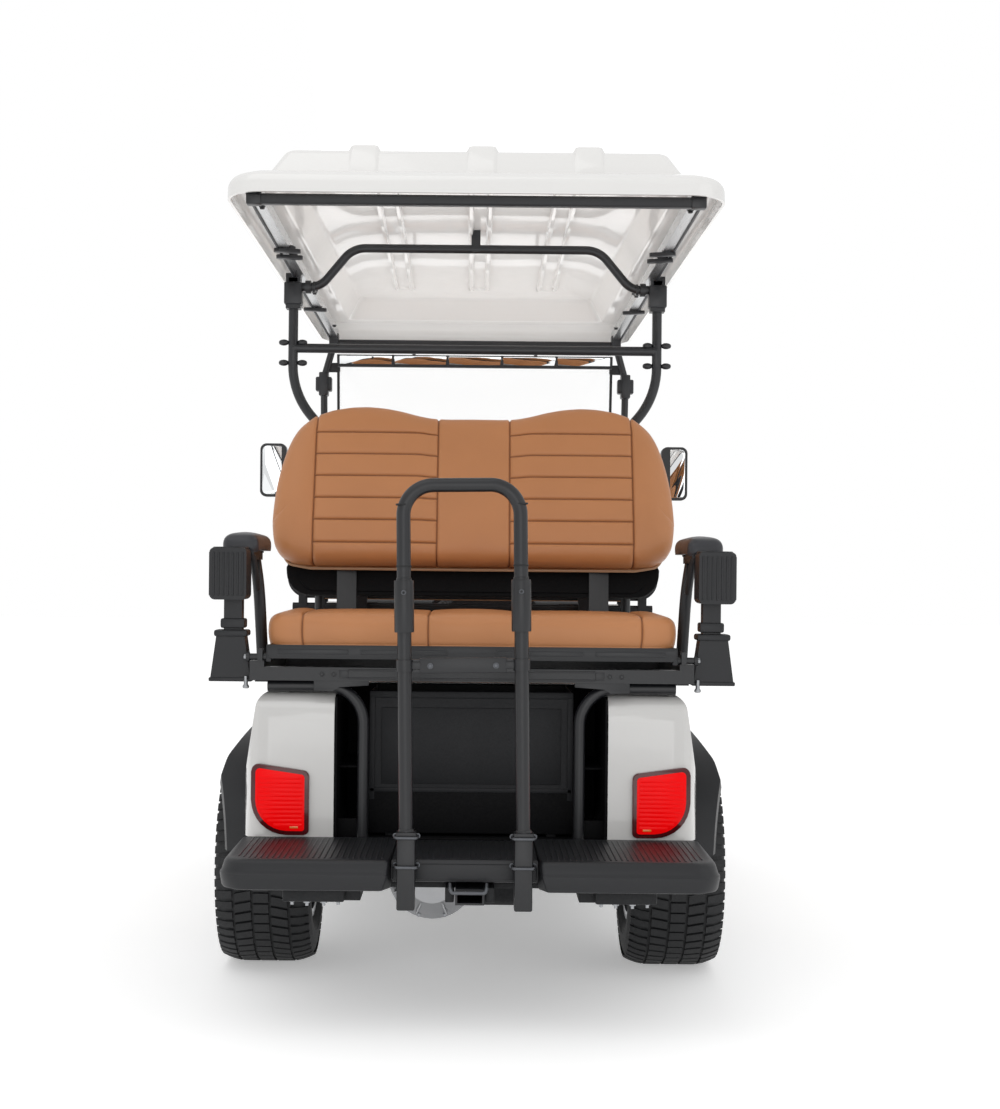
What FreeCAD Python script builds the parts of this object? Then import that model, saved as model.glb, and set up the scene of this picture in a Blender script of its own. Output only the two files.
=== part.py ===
import FreeCAD, Part
import math
import os

# Four-seat golf cart with a rear-facing flip seat, in millimetres.
# +X is the cart's right, +Y is forwards, +Z is up; the origin is on the ground, in the
# middle of the cart's length and width.

V = FreeCAD.Vector

# ---- driving dimensions ----
LENGTH = 2978.0
REAR = -LENGTH / 2
FRONT = LENGTH / 2
REAR_AXLE_Y = -680.0
FRONT_AXLE_Y = 990.0
TYRE_RADIUS = 280.0
TYRE_WIDTH = 245.0
RIM_RADIUS = 152.5
WHEEL_X = 532.5
KINGPIN_X = 470.0
TIE_ARM = (62.0, 95.0)
SPINDLE_RADIUS = 15.0
RUNNING_FIT = 0.05

BODY_HALF = 556.0
FLARE_HALF = 664.0
WALL = 10.0
REAR_ARCH = 330.0
FRONT_ARCH = 345.0
REAR_WELL_X = 395.0
FRONT_WELL_X = 270.0
BODY_REAR_Y = -1150.0
DECK_Z = 755.0
DECK_HALF = 520.0
LID_DECK_Z = 690.0
KICK_Y = 330.0
FLOOR_Z = 396.0
FLOOR_THICK = 16.0

RAIL_X = 200.0
RAIL_WIDTH = 50.0
RAIL_Z = (320.0, 380.0)

STEP_TOP = 402.0
STEP_BOTTOM = 333.0
STEP_HALF = 566.0
STEP_NOTCH_HALF = 164.0
STEP_NOTCH_Y = -1433.0

HITCH_PIN_Y = -1420.0

BAR_Y = -1450.0
BAR_X = 132.0
BAR_MIDDLE_X = -12.0
BAR_TOP = 1245.0
BAR_LEAN = 1.0

FLIP_PIVOT = (-1143.0, 838.0)
LID_PIVOT = (-262.0, 706.0)

ROOF_REAR_Y = -1300.0
ROOF_FRONT_Y = 750.0
ROOF_REAR_HALF = 598.0
ROOF_FRONT_HALF = 540.0
ROOF_LIP_Z = 1936.0
ROOF_SLOPE = 2.2
ROOF_WALL = 8.0
ROOF_RIM = 60.0
ROOF_CROWN = 148.0

POST_X = 528.0
STRUT_X = 530.0
STRUT_RADIUS = 14.0

WHEEL_HUB = (-240.0, 450.0, 1000.0)
COLUMN_TILT = 35.3

parts = {}


# ---- small helpers ----
def box(x, y, z):
    """Block between the low and high values of x, y and z."""
    return Part.makeBox(x[1] - x[0], y[1] - y[0], z[1] - z[0], V(x[0], y[0], z[0]))


def rod(start, end, radius):
    axis = V(*end) - V(*start)
    return Part.makeCylinder(radius, axis.Length, V(*start), axis)


def rounded_wire(points, closed=True):
    """Wire through (x, y, z, corner radius) points, each corner an arc of its radius."""
    spots = [V(x, y, z) for x, y, z, radius in points]
    count = len(points)
    corners = []
    for i in range(count):
        radius = points[i][3]
        end_point = not closed and i in (0, count - 1)
        if radius == 0 or end_point:
            corners.append((spots[i], None, spots[i]))
            continue
        back = (spots[i - 1] - spots[i]).normalize()
        ahead = (spots[(i + 1) % count] - spots[i]).normalize()
        half = back.getAngle(ahead) / 2
        reach = radius / math.tan(half)
        bisector = (back + ahead).normalize()
        middle = spots[i] + bisector * (radius / math.sin(half) - radius)
        corners.append((spots[i] + back * reach, middle, spots[i] + ahead * reach))
    edges = []
    for i, (start, middle, end) in enumerate(corners):
        if middle is not None:
            edges.append(Part.Arc(start, middle, end).toShape())
        following = corners[(i + 1) % count][0]
        if (closed or i < count - 1) and end.distanceToPoint(following) > 0.001:
            edges.append(Part.LineSegment(end, following).toShape())
    return Part.Wire(edges)


def grown_face(points, grow):
    face = Part.Face(rounded_wire(points))
    return face.makeOffset2D(grow) if grow else face


def side_plate(outline, x, grow=0):
    """Outline of (y, z, corner radius) points, extruded across the cart."""
    face = grown_face([(x[0], y, z, radius) for y, z, radius in outline], grow)
    return face.extrude(V(x[1] - x[0], 0, 0))


def plan_plate(outline, z, grow=0):
    """Outline of (x, y, corner radius) points, extruded upwards."""
    face = grown_face([(x, y, z[0], radius) for x, y, radius in outline], grow)
    return face.extrude(V(0, 0, z[1] - z[0]))


def front_plate(outline, y, grow=0):
    """Outline of (x, z, corner radius) points, extruded along the cart."""
    face = grown_face([(x, y[0], z, radius) for x, z, radius in outline], grow)
    return face.extrude(V(0, y[1] - y[0], 0))


def tube(points, radius):
    """Round bar along (x, y, z, bend radius) points."""
    path = rounded_wire(points, closed=False)
    start = V(*points[0][:3])
    ring = Part.Wire(Part.makeCircle(radius, start, V(*points[1][:3]) - start))
    return path.makePipeShell([ring], True, False)


def fused(shapes):
    return shapes[0].multiFuse(shapes[1:]).removeSplitter()


def mirrored(shape):
    return shape.mirror(V(0, 0, 0), V(1, 0, 0))


def both_sides(shape):
    """The shape and its mirror image, as two solids that don't touch."""
    return Part.makeCompound([shape, mirrored(shape)])


def both_ways(half_outline):
    """A left-right outline from its right half, listed from the middle outwards and round."""
    left = [(-x, b, radius) for x, b, radius in reversed(half_outline)]
    return half_outline + left


def turned_x(shape, degrees, centre=(0, 0, 0)):
    shape = shape.copy()
    shape.rotate(V(*centre), V(1, 0, 0), degrees)
    return shape


def moved(shape, x=0, y=0, z=0):
    shape = shape.copy()
    shape.translate(V(x, y, z))
    return shape


# ---- chassis and running gear ----
def chassis():
    rail = box((RAIL_X - RAIL_WIDTH / 2, RAIL_X + RAIL_WIDTH / 2), (-1100, 1400), RAIL_Z)
    pieces = [rail, mirrored(rail)]
    # columns: y low, y high, half width, z low, z high
    cross_members = [
        (-1000, -960, 356, 346, 380),
        (-400, -360, 356, 346, 380),
        (-335, -300, 540, 346, 380),
        (280, 318, 540, 346, 380),
        (560, 596, 545, 346, 380),
        (1290, 1330, 276, 340, 380),
        (1370, 1400, 300, 330, 380),
    ]
    for y_low, y_high, half, z_low, z_high in cross_members:
        pieces.append(box((-half, half), (y_low, y_high), (z_low, z_high)))
    return fused(pieces)


def rear_step_bracket():
    """Cross member behind the rails, with the two arms that carry the step."""
    member = box((-430, 430), (-1149, -1100), (296, 372))
    arm = box((250, 410), (-1396, -1149), (296, STEP_BOTTOM))
    return fused([member, arm, mirrored(arm)])


def shock_bridge():
    post = box((RAIL_X - 20, RAIL_X + 20), (-600, -560), (RAIL_Z[1], 600))
    return fused([post, mirrored(post), box((-300, 300), (-600, -560), (600, 630))])


def rear_axle():
    tube_run = rod((-412, REAR_AXLE_Y, TYRE_RADIUS), (412, REAR_AXLE_Y, TYRE_RADIUS), 30)
    stub = rod((-604, REAR_AXLE_Y, TYRE_RADIUS), (604, REAR_AXLE_Y, TYRE_RADIUS), SPINDLE_RADIUS)
    housing = Part.makeSphere(106, V(-100, REAR_AXLE_Y, TYRE_RADIUS - 24))
    nose = rod((-100, -830, TYRE_RADIUS - 24), (-100, REAR_AXLE_Y, TYRE_RADIUS - 24), 56)
    keep = box((-230, 200), (-900, -500), (140, RAIL_Z[0] - 4))
    drum = rod((414, REAR_AXLE_Y, TYRE_RADIUS), (500, REAR_AXLE_Y, TYRE_RADIUS), 98)
    backing = rod((406, REAR_AXLE_Y, TYRE_RADIUS), (414, REAR_AXLE_Y, TYRE_RADIUS), 108)
    brake = drum.fuse(backing)
    return fused([tube_run, stub, housing.fuse(nose).common(keep), brake, mirrored(brake)])


def drive_motor():
    body = rod((24, REAR_AXLE_Y, 228), (160, REAR_AXLE_Y, 228), 78)
    return body.cut(rod((0, REAR_AXLE_Y, TYRE_RADIUS), (200, REAR_AXLE_Y, TYRE_RADIUS), 30))


def leaf_spring(axle_y, half_length, eye_z, middle_z, width):
    """Shallow two-leaf spring, lowest where it sits on the axle."""
    outline = [
        (axle_y - half_length, eye_z, 0),
        (axle_y, middle_z, 2500),
        (axle_y + half_length, eye_z, 0),
        (axle_y + half_length, eye_z + 12, 0),
        (axle_y, middle_z + 18, 2500),
        (axle_y - half_length, eye_z + 12, 0),
    ]
    return side_plate(outline, (-width / 2, width / 2))


def shock(foot, head, radius):
    """Damper: thin rod below, wider body above."""
    foot_v = V(*foot)
    head_v = V(*head)
    middle = foot_v + (head_v - foot_v) * 0.42
    return rod(foot, tuple(middle), 9).fuse(rod(tuple(middle), head, radius))


def rear_suspension():
    spring = moved(leaf_spring(REAR_AXLE_Y, 300, 334, 310, 50), x=330)
    damper = shock((250, -640, 300), (250, -602, 612), 22)
    lug = box((228, 305), (-660, -620), (310, 322))
    return both_sides(fused([spring, lug, damper]))


def front_axle():
    beam = box((-430, 430), (FRONT_AXLE_Y - 25, FRONT_AXLE_Y + 25), (262, 300))
    back = box((418, 440), (FRONT_AXLE_Y - 8, FRONT_AXLE_Y + 18), (190, 370))
    arms = [box((418, 490), (FRONT_AXLE_Y - 18, FRONT_AXLE_Y + 18), z) for z in ((186, 198), (362, 374))]
    kingpin = rod((KINGPIN_X, FRONT_AXLE_Y, 186), (KINGPIN_X, FRONT_AXLE_Y, 374), 10)
    yoke = fused([back, kingpin] + arms)
    return fused([beam, yoke, mirrored(yoke)])


def front_suspension():
    spring = moved(leaf_spring(FRONT_AXLE_Y, 320, 328, 300, 45), x=251)
    damper = shock((240, FRONT_AXLE_Y, 316), (240, FRONT_AXLE_Y + 20, 590), 16)
    return both_sides(fused([spring, damper]))


def knuckle():
    """Right knuckle: barrel on the kingpin, spindle, brake drum and steering arm."""
    barrel = rod((KINGPIN_X, FRONT_AXLE_Y, 203), (KINGPIN_X, FRONT_AXLE_Y, 357), 20)
    spindle = rod((KINGPIN_X, FRONT_AXLE_Y, TYRE_RADIUS), (604, FRONT_AXLE_Y, TYRE_RADIUS), SPINDLE_RADIUS)
    drum = rod((500, FRONT_AXLE_Y, TYRE_RADIUS), (540, FRONT_AXLE_Y, TYRE_RADIUS), 92)
    arm = plan_plate(
        [
            (KINGPIN_X - 12, FRONT_AXLE_Y - 6, 0),
            (KINGPIN_X + 12, FRONT_AXLE_Y - 6, 0),
            (KINGPIN_X - 48, FRONT_AXLE_Y - 105, 10),
            (KINGPIN_X - 76, FRONT_AXLE_Y - 105, 10),
        ],
        (214, 226),
    )
    bore = rod((KINGPIN_X, FRONT_AXLE_Y, 150), (KINGPIN_X, FRONT_AXLE_Y, 400), 10 + RUNNING_FIT)
    eye_x = KINGPIN_X - TIE_ARM[0]
    eye_y = FRONT_AXLE_Y - TIE_ARM[1]
    eye = rod((eye_x, eye_y, 200), (eye_x, eye_y, 240), 5 + RUNNING_FIT)
    return fused([barrel, spindle, drum, arm]).cut(bore).cut(eye)


def tie_rod():
    """Rod from the left steering arm's pin across to the right arm."""
    y = FRONT_AXLE_Y - TIE_ARM[1]
    left = TIE_ARM[0] - KINGPIN_X
    run = rod((left, y, 200), (-left, y, 200), 8)
    eyes = [rod((x, y, 191), (x, y, 208), 15) for x in (left, -left)]
    pin = rod((left, y, 203), (left, y, 230), 5)
    return fused([run, pin] + eyes)


def tyre():
    """Hollow tyre round the X axis."""
    side = TYRE_WIDTH / 2
    outer = [
        (-96, RIM_RADIUS, 0),
        (-side, RIM_RADIUS + 45, 40),
        (-side + 4, TYRE_RADIUS - 30, 30),
        (-side + 26, TYRE_RADIUS, 20),
    ]
    inner = [
        (-side + 36, TYRE_RADIUS - 24, 16),
        (-side + 18, TYRE_RADIUS - 44, 16),
        (-side + 16, RIM_RADIUS + 45, 16),
        (-84, RIM_RADIUS, 0),
    ]
    points = outer + [(-x, r, k) for x, r, k in reversed(outer)]
    points += [(-x, r, k) for x, r, k in reversed(inner)] + inner
    wire = rounded_wire([(x, 0, r, k) for x, r, k in points])
    return Part.Face(wire).revolve(V(0, 0, 0), V(1, 0, 0), 360)


def rim():
    """Alloy rim round the X axis, its outer face towards +X."""
    barrel = [
        (-111, RIM_RADIUS - 0.1, 0),
        (-111, RIM_RADIUS + 12, 0),
        (-104, RIM_RADIUS + 12, 0),
        (-104, RIM_RADIUS - 0.1, 0),
        (104, RIM_RADIUS - 0.1, 0),
        (104, RIM_RADIUS + 12, 0),
        (111, RIM_RADIUS + 12, 0),
        (111, RIM_RADIUS - 10, 0),
        (-111, RIM_RADIUS - 10, 0),
    ]
    face = Part.Face(rounded_wire([(x, 0, r, k) for x, r, k in barrel]))
    ring = face.revolve(V(0, 0, 0), V(1, 0, 0), 360)
    disc = rod((44, 0, 0), (58, 0, 0), RIM_RADIUS - 8)
    hub = rod((20, 0, 0), (72, 0, 0), 44)
    window = rod((30, 0, 100), (80, 0, 100), 24)
    for i in range(8):
        cutter = window.copy()
        cutter.rotate(V(0, 0, 0), V(1, 0, 0), i * 45)
        disc = disc.cut(cutter)
    bore = rod((0, 0, 0), (90, 0, 0), SPINDLE_RADIUS + RUNNING_FIT)
    return fused([ring, disc, hub]).cut(bore)


def wheels():
    # columns: name, side, axle y
    places = [
        ("front_left", -1, FRONT_AXLE_Y),
        ("front_right", 1, FRONT_AXLE_Y),
        ("rear_left", -1, REAR_AXLE_Y),
        ("rear_right", 1, REAR_AXLE_Y),
    ]
    for name, side, axle_y in places:
        for kind, shape in (("tyre", tyre()), ("rim", rim())):
            placed = moved(shape, WHEEL_X, axle_y, TYRE_RADIUS)
            parts[kind + "_" + name] = placed if side > 0 else mirrored(placed)


# ---- body panels ----
def body_block(side, plan, front, grow=0):
    """Block whose side, plan and front views are the three outlines."""
    half = FLARE_HALF
    block = side_plate(side, (-half, half), grow)
    if plan:
        block = block.common(plan_plate(plan, (0, 1200), grow))
    return block.common(front_plate(front, (-1600, 1600), grow))


def pod_block(grow=0, drop=0):
    side = [
        (BODY_REAR_Y, 397 - drop, 0),
        (BODY_REAR_Y, DECK_Z, 70),
        (-370, DECK_Z, 12),
        (-335, LID_DECK_Z, 12),
        (312, LID_DECK_Z, 35),
        (KICK_Y, 600, 60),
        (KICK_Y, 340 - drop, 0),
        (-600, 340 - drop, 0),
        (-600, 397 - drop, 0),
    ]
    if drop:
        side = side[:-2]
    plan = [
        (BODY_HALF, BODY_REAR_Y, 70),
        (BODY_HALF, KICK_Y, 0),
        (-BODY_HALF, KICK_Y, 0),
        (-BODY_HALF, BODY_REAR_Y, 70),
    ]
    front = [
        (-BODY_HALF, 200, 0),
        (-BODY_HALF, 540, 260),
        (-DECK_HALF, DECK_Z, 45),
        (DECK_HALF, DECK_Z, 45),
        (BODY_HALF, 540, 260),
        (BODY_HALF, 200, 0),
    ]
    return body_block(side, plan, front, grow)


def wells(axle_y, radius, inner_x):
    right = rod((inner_x, axle_y, TYRE_RADIUS), (720, axle_y, TYRE_RADIUS), radius)
    return right.fuse(mirrored(right))


def rear_body():
    recess_half = 333
    recess_front = -760
    cavity = pod_block(-WALL, 120)
    cavity = cavity.cut(wells(REAR_AXLE_Y, REAR_ARCH + WALL, REAR_WELL_X - WALL))
    cavity = cavity.cut(box((-recess_half - WALL, recess_half + WALL), (-1300, recess_front + WALL), (0, 900)))
    shell = pod_block().cut(cavity)
    shell = shell.cut(wells(REAR_AXLE_Y, REAR_ARCH, REAR_WELL_X))
    shell = shell.cut(box((-recess_half, recess_half), (-1300, recess_front), (0, 900)))
    return shell.cut(box((-400, 400), (-215, 235), (640, 740)))


def cowl_block(grow=0, drop=0, back=0):
    side = [
        (600 - back, 340 - drop, 0),
        (600 - back, 500, 60),
        (745 - back, 740, 80),
        (790 - back, 938, 0),
        (1000, 905, 250),
        (1320, 765, 200),
        (1455, 600, 80),
        (1462, 340 - drop, 0),
    ]
    plan = both_ways([(BODY_HALF, 360, 0), (BODY_HALF, 1190, 210), (410, 1466, 140)])
    front = [
        (-BODY_HALF, 150, 0),
        (-BODY_HALF, 720, 90),
        (-522, 962, 60),
        (522, 962, 60),
        (BODY_HALF, 720, 90),
        (BODY_HALF, 150, 0),
    ]
    return body_block(side, plan, front, grow)


def head_lights():
    shell = cowl_block(3).cut(cowl_block(-6))
    lens = front_plate([(300, 560, 24), (300, 628, 24), (490, 660, 28), (490, 570, 28)], (1150, 1500))
    return both_sides(shell.common(lens))


def front_cowl():
    cavity = cowl_block(-WALL, 120, 80)
    cavity = cavity.cut(wells(FRONT_AXLE_Y, FRONT_ARCH + WALL, FRONT_WELL_X - WALL))
    shell = cowl_block().cut(cavity)
    shell = shell.cut(wells(FRONT_AXLE_Y, FRONT_ARCH, FRONT_WELL_X))
    bumper_room = box((-700, 700), (1340, 1600), (200, 442))
    return shell.cut(bumper_room).cut(parts["head_lights"])


def flares(axle_y, radius, lip, body):
    """Arch trim on both sides: a band along the arch, bowed in plan, with an outer lip."""
    reach = radius + 20
    plan = [
        (500, axle_y - reach, 0),
        (606, axle_y - reach, 20),
        (FLARE_HALF, axle_y - 170, 300),
        (FLARE_HALF, axle_y + 170, 300),
        (606, axle_y + reach, 20),
        (500, axle_y + reach, 0),
    ]
    bowl = plan_plate(plan, (345, 800))
    inner_bowl = plan_plate(plan, (0, 1000), -12)
    cylinders = [rod((400, axle_y, TYRE_RADIUS), (720, axle_y, TYRE_RADIUS), r) for r in (radius + 16, radius + 2)]
    opening = rod((0, axle_y, TYRE_RADIUS), (720, axle_y, TYRE_RADIUS), radius - lip)
    hollow = inner_bowl.fuse(box((400, 560), (axle_y - 600, axle_y + 600), (0, 1000)))
    lean = [
        (FLARE_HALF, 300, 0),
        (652, 465, 200),
        (FLARE_HALF - 34, 567, 60),
        (594, 622, 40),
        (560, 700, 0),
    ]
    span = (axle_y - 600, axle_y + 600)
    middle = box((-500, 500), span, (0, 1000))
    bowl = bowl.common(front_plate(both_ways(lean), span))
    inner_bowl = inner_bowl.common(front_plate(both_ways(lean), span, -12).fuse(middle))
    trim = bowl.common(cylinders[0]).cut(hollow.common(cylinders[1])).cut(opening)
    return both_sides(trim.cut(body))


def floor_pan():
    low = FLOOR_Z - FLOOR_THICK
    deck = box((-BODY_HALF, BODY_HALF), (KICK_Y, 599), (low, FLOOR_Z))
    toe_board = [
        (590, low, 0),
        (640, low, 0),
        (760, 630, 0),
        (760, 700, 0),
        (744, 700, 0),
        (744, 634, 0),
        (630, FLOOR_Z, 0),
        (590, FLOOR_Z, 0),
    ]
    return deck.fuse(side_plate(toe_board, (-545, 545))).removeSplitter()


def rocker_panels():
    outline = [(556, 300, 0), (605, 300, 24), (605, FLOOR_Z, 18), (556, FLOOR_Z, 0)]
    return both_sides(front_plate(outline, (-345, 598)))


def storage_well():
    outer = box((-252, 252), (-1070, -800), (477, 753))
    inner = box((-246, 246), (-1064, -806), (483, 800))
    feet = [box((x - 12, x + 12), (-1060, -810), (RAIL_Z[1], 477)) for x in (-RAIL_X, RAIL_X)]
    skirt = box((-252, 252), (-1070, -1064), (404, 477))
    return fused([outer.cut(inner), skirt] + feet)


def seat_support_hoops():
    hoop = tube([(264, -1125, 372, 0), (264, -1125, 767, 90), (498, -1125, 767, 0)], 14)
    return both_sides(hoop)


def dashboard():
    outline = [
        (640, 700, 0),
        (560, 760, 30),
        (560, 880, 40),
        (650, 948, 60),
        (860, 948, 0),
        (860, 700, 0),
    ]
    slab = side_plate(outline, (-470, 470))
    hump = front_plate([(-180, 900, 0), (-120, 962, 60), (200, 962, 60), (260, 900, 0)], (640, 800))
    tray = box((-440, -330), (500, 640), (800, 980)).fuse(box((300, 440), (500, 640), (800, 980)))
    return slab.fuse(hump).cut(tray).cut(cowl_block())


def front_bumper():
    outline = both_ways([(470, 1385, 0), (452, FRONT, 100)])
    hollow = both_ways([(440, 1360, 0), (418, FRONT - 40, 90)])
    bar = plan_plate(outline, (334, 436)).cut(plan_plate(hollow, (300, 500)))
    mounts = [box((x - 25, x + 25), (1400, FRONT - 30), RAIL_Z) for x in (-RAIL_X, RAIL_X)]
    return fused([bar] + mounts)


def tail_lights():
    outline = [(392, 407, 12), (392, 562, 16), (533, 582, 18), (533, 407, 85)]
    return both_sides(front_plate(outline, (BODY_REAR_Y - 12, BODY_REAR_Y)))


def footrest():
    right, left = [BAR_MIDDLE_X + side * STEP_NOTCH_HALF for side in (1, -1)]
    outline = [
        (right, STEP_NOTCH_Y, 0),
        (right + 10, REAR, 12),
        (STEP_HALF, REAR, 60),
        (STEP_HALF, BODY_REAR_Y, 0),
        (-STEP_HALF, BODY_REAR_Y, 0),
        (-STEP_HALF, REAR, 60),
        (left - 10, REAR, 12),
        (left, STEP_NOTCH_Y, 0),
    ]
    block = plan_plate(outline, (STEP_BOTTOM, STEP_TOP))
    cavity = plan_plate(outline, (STEP_BOTTOM - 50, STEP_TOP - WALL), -WALL)
    return block.cut(cavity)


def hitch_receiver():
    outer = box((-33, 33), (-1446, -1149), (297, STEP_BOTTOM))
    pin_hole = rod((-50, HITCH_PIN_Y, 315), (50, HITCH_PIN_Y, 315), 8)
    return outer.cut(box((-28, 28), (-1500, -1100), (302, 328))).cut(pin_hole)


# ---- roof ----
def roof_outline(inset, z):
    half = [
        (ROOF_REAR_HALF - inset, ROOF_REAR_Y + inset, 95),
        (ROOF_FRONT_HALF - inset, ROOF_FRONT_Y - inset, 95),
    ]
    return rounded_wire([(x, y, z, max(r - inset, 20)) for x, y, r in both_ways(half)])


def roof_stack(extra, sink):
    """Rim and raised crown, moved in by extra and down by sink."""
    rim_levels = [(extra, -sink), (extra + 3, ROOF_RIM - 24 - sink), (extra + 28, ROOF_RIM - sink)]
    crown_levels = [
        (extra + 28, ROOF_RIM - sink),
        (extra + 92, ROOF_RIM + 8 - sink),
        (extra + 132, ROOF_CROWN - 12 - sink),
        (extra + 190, ROOF_CROWN - sink),
    ]
    layers = []
    for levels in (rim_levels, crown_levels):
        for lower, upper in zip(levels[:-1], levels[1:]):
            wires = [roof_outline(inset, z) for inset, z in (lower, upper)]
            layers.append(Part.makeLoft(wires, True, True))
    return fused(layers)


def roof_tilt(shape):
    """From the level roof frame, its lip at z 0, to the roof's place on the cart."""
    return turned_x(moved(shape, z=ROOF_LIP_Z), -ROOF_SLOPE, (0, ROOF_REAR_Y, ROOF_LIP_Z))


def roof_canopy():
    return roof_tilt(roof_stack(0, 0).cut(roof_stack(ROOF_WALL, ROOF_WALL)))


def roof_side_rails():
    outline = [(512, -1250, 0), (547, -1250, 0), (513, 700, 0), (478, 700, 0)]
    return roof_tilt(both_sides(plan_plate(outline, (1.5, 32))))


def roof_rear_crossbar():
    return roof_tilt(rod((-543, -1262, -14), (543, -1262, -14), 15.5))


def front_posts():
    """Screen frame: two posts that lean back, and the bar across their tops."""
    post = [(POST_X, 830, 760, 0), (POST_X, 680, 1722, 70), (492, 662, 1842, 0)]
    posts = tube(post, 12)
    top_bar = rod((-492, 662, 1844), (492, 662, 1844), 12)
    pad = box((476, 508), (640, 684), (1836, 1875))
    return fused([posts, mirrored(posts), top_bar, pad, mirrored(pad)])


def windshield():
    outline = [(800, 945, 0), (672, 1812, 0), (677, 1813, 0), (805, 946, 0)]
    return side_plate(outline, (-478, 478))


def rear_struts():
    strut = tube(
        [
            (440, -400, DECK_Z, 0),
            (440, -345, 1458, 40),
            (STRUT_X, -325, 1564, 225),
            (STRUT_X, -320, 1885, 0),
        ],
        STRUT_RADIUS,
    )
    sleeve = box((STRUT_X - 21, STRUT_X + 21), (-341, -299), (1810, 1912))
    foot = box((405, 471), (-436, -376), (DECK_Z, DECK_Z + 8))
    side = fused([strut, sleeve, foot])
    crossbar = rod((-STRUT_X, -324, 1696), (STRUT_X, -324, 1696), 13.5)
    return fused([side, mirrored(side), crossbar])


def roof_hoop_bar():
    half = [(512, -325, 1874, 0), (452, -328, 1874, 70), (356, -350, 1984, 80)]
    points = half + [(-x, y, z, r) for x, y, z, r in reversed(half)]
    hanger = box((-13, 13), (-362, -338), (1975, 2040))
    return tube(points, 12.5).fuse(hanger)


# ---- seats ----
def front_seat_base():
    """Lid over the battery bay, with two hinge knuckles at its rear edge."""
    plate_outline = [(505, -236, 30), (505, 276, 60), (-505, 276, 60), (-505, -236, 30)]
    plate = plan_plate(plate_outline, (698, 714))
    pieces = [plate]
    for x in (-300, 300):
        knuckle_rod = rod((x - 30, LID_PIVOT[0], LID_PIVOT[1]), (x + 30, LID_PIVOT[0], LID_PIVOT[1]), 9)
        tongue = box((x - 30, x + 30), (LID_PIVOT[0], -230), (700, 712))
        pieces += [knuckle_rod, tongue]
    bore = rod((-400, LID_PIVOT[0], LID_PIVOT[1]), (400, LID_PIVOT[0], LID_PIVOT[1]), 5 + RUNNING_FIT)
    return fused(pieces).cut(bore)


def front_seat_hinges():
    pieces = []
    for x in (-300, 300):
        pin = rod((x - 48, LID_PIVOT[0], LID_PIVOT[1]), (x + 48, LID_PIVOT[0], LID_PIVOT[1]), 5)
        lugs = [box((a, a + 10), (-270, -252), (LID_DECK_Z, 716)) for a in (x - 46, x + 36)]
        pieces.append(fused([pin] + lugs))
    return Part.makeCompound(pieces)


def front_seat_cushion():
    outline = [(500, -232, 60), (510, 268, 90), (-510, 268, 90), (-500, -232, 60)]
    return plan_plate(outline, (714, 815))


def leaned(shape, pivot_y, pivot_z, degrees):
    """Stand a slab that was built upright at y 0, z 0 on its place, leaning about X."""
    return turned_x(moved(shape, y=pivot_y, z=pivot_z), degrees, (0, pivot_y, pivot_z))


def front_seat_back():
    outline = both_ways([(440, 440, 120), (545, 380, 60), (545, 0, 50)])
    return leaned(front_plate(outline, (0, 80)), -228, 972, 9)


def front_seat_back_shell():
    outline = both_ways([(545, 0, 60), (545, 380, 60), (440, 436, 100)])
    shell = leaned(front_plate(outline, (-30, -0.2)), -228, 972, 9)
    side_view = [
        (-404, DECK_Z, 0),
        (-380, DECK_Z, 0),
        (-258, 985, 0),
        (-288, 1180, 0),
        (-308, 1180, 0),
        (-280, 990, 0),
    ]
    upright = side_plate(side_view, (310, 360))
    cross = rod((-530, -262, 942), (530, -262, 942), 12)
    hangers = [box((x - 12, x + 12), (-276, -250), (930, 1010)) for x in (-500, 500)]
    uprights = [upright, mirrored(upright)]
    link = [box((a, a + 50), (-296, -256), (932, 952)) for a in (310, -360)]
    return fused([shell, cross] + uprights + hangers + link)


def rear_seat_back():
    outline = both_ways([(60, 408, 60), (160, 446, 120), (440, 446, 120), (545, 385, 60), (545, 0, 60)])
    return leaned(front_plate(outline, (-90, 0)), -645, 1056, -18.5)


def rear_seat_frame():
    side_rail = box((505, 540), (-1150, -640), (781, 829))
    spacer = box((430, 540), (-1050, -700), (771, 781)).fuse(box((430, 468), (-1050, -700), (DECK_Z, 771)))
    upright = side_plate(
        [(-660, 781, 0), (-648, 781, 0), (-636, 1056, 0), (-556, 1296, 0), (-563, 1298, 0), (-645, 1056, 0)],
        (317, 370),
    )
    ear = box((508, 520), (-1160, -1126), (829, 858))
    pivot_y, pivot_z = FLIP_PIVOT
    pin = rod((484, pivot_y, pivot_z), (541, pivot_y, pivot_z), 8)
    head = rod((541, pivot_y, pivot_z), (549, pivot_y, pivot_z), 12)
    right = [side_rail, spacer, upright, ear, pin, head]
    rails = [box((-520, 520), (-1150, -1115), (781, 814)), box((-520, 520), (-672, -640), (781, 829))]
    return fused(rails + right + [mirrored(piece) for piece in right])


def rear_seat_tray():
    outline = [(495, -1155, 30), (495, -705, 40), (-495, -705, 40), (-495, -1155, 30)]
    plate = plan_plate(outline, (846, 868))
    pivot_y, pivot_z = FLIP_PIVOT
    ear = box((488, 499), (pivot_y - 11, pivot_y + 11), (827, 868))
    bore = rod((-600, pivot_y, pivot_z), (600, pivot_y, pivot_z), 8 + RUNNING_FIT)
    return fused([plate, ear, mirrored(ear)]).cut(bore)


def rear_seat_cushion():
    outline = [(500, -1150, 50), (500, -700, 50), (-500, -700, 50), (-500, -1150, 50)]
    return plan_plate(outline, (868, 947))


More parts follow.
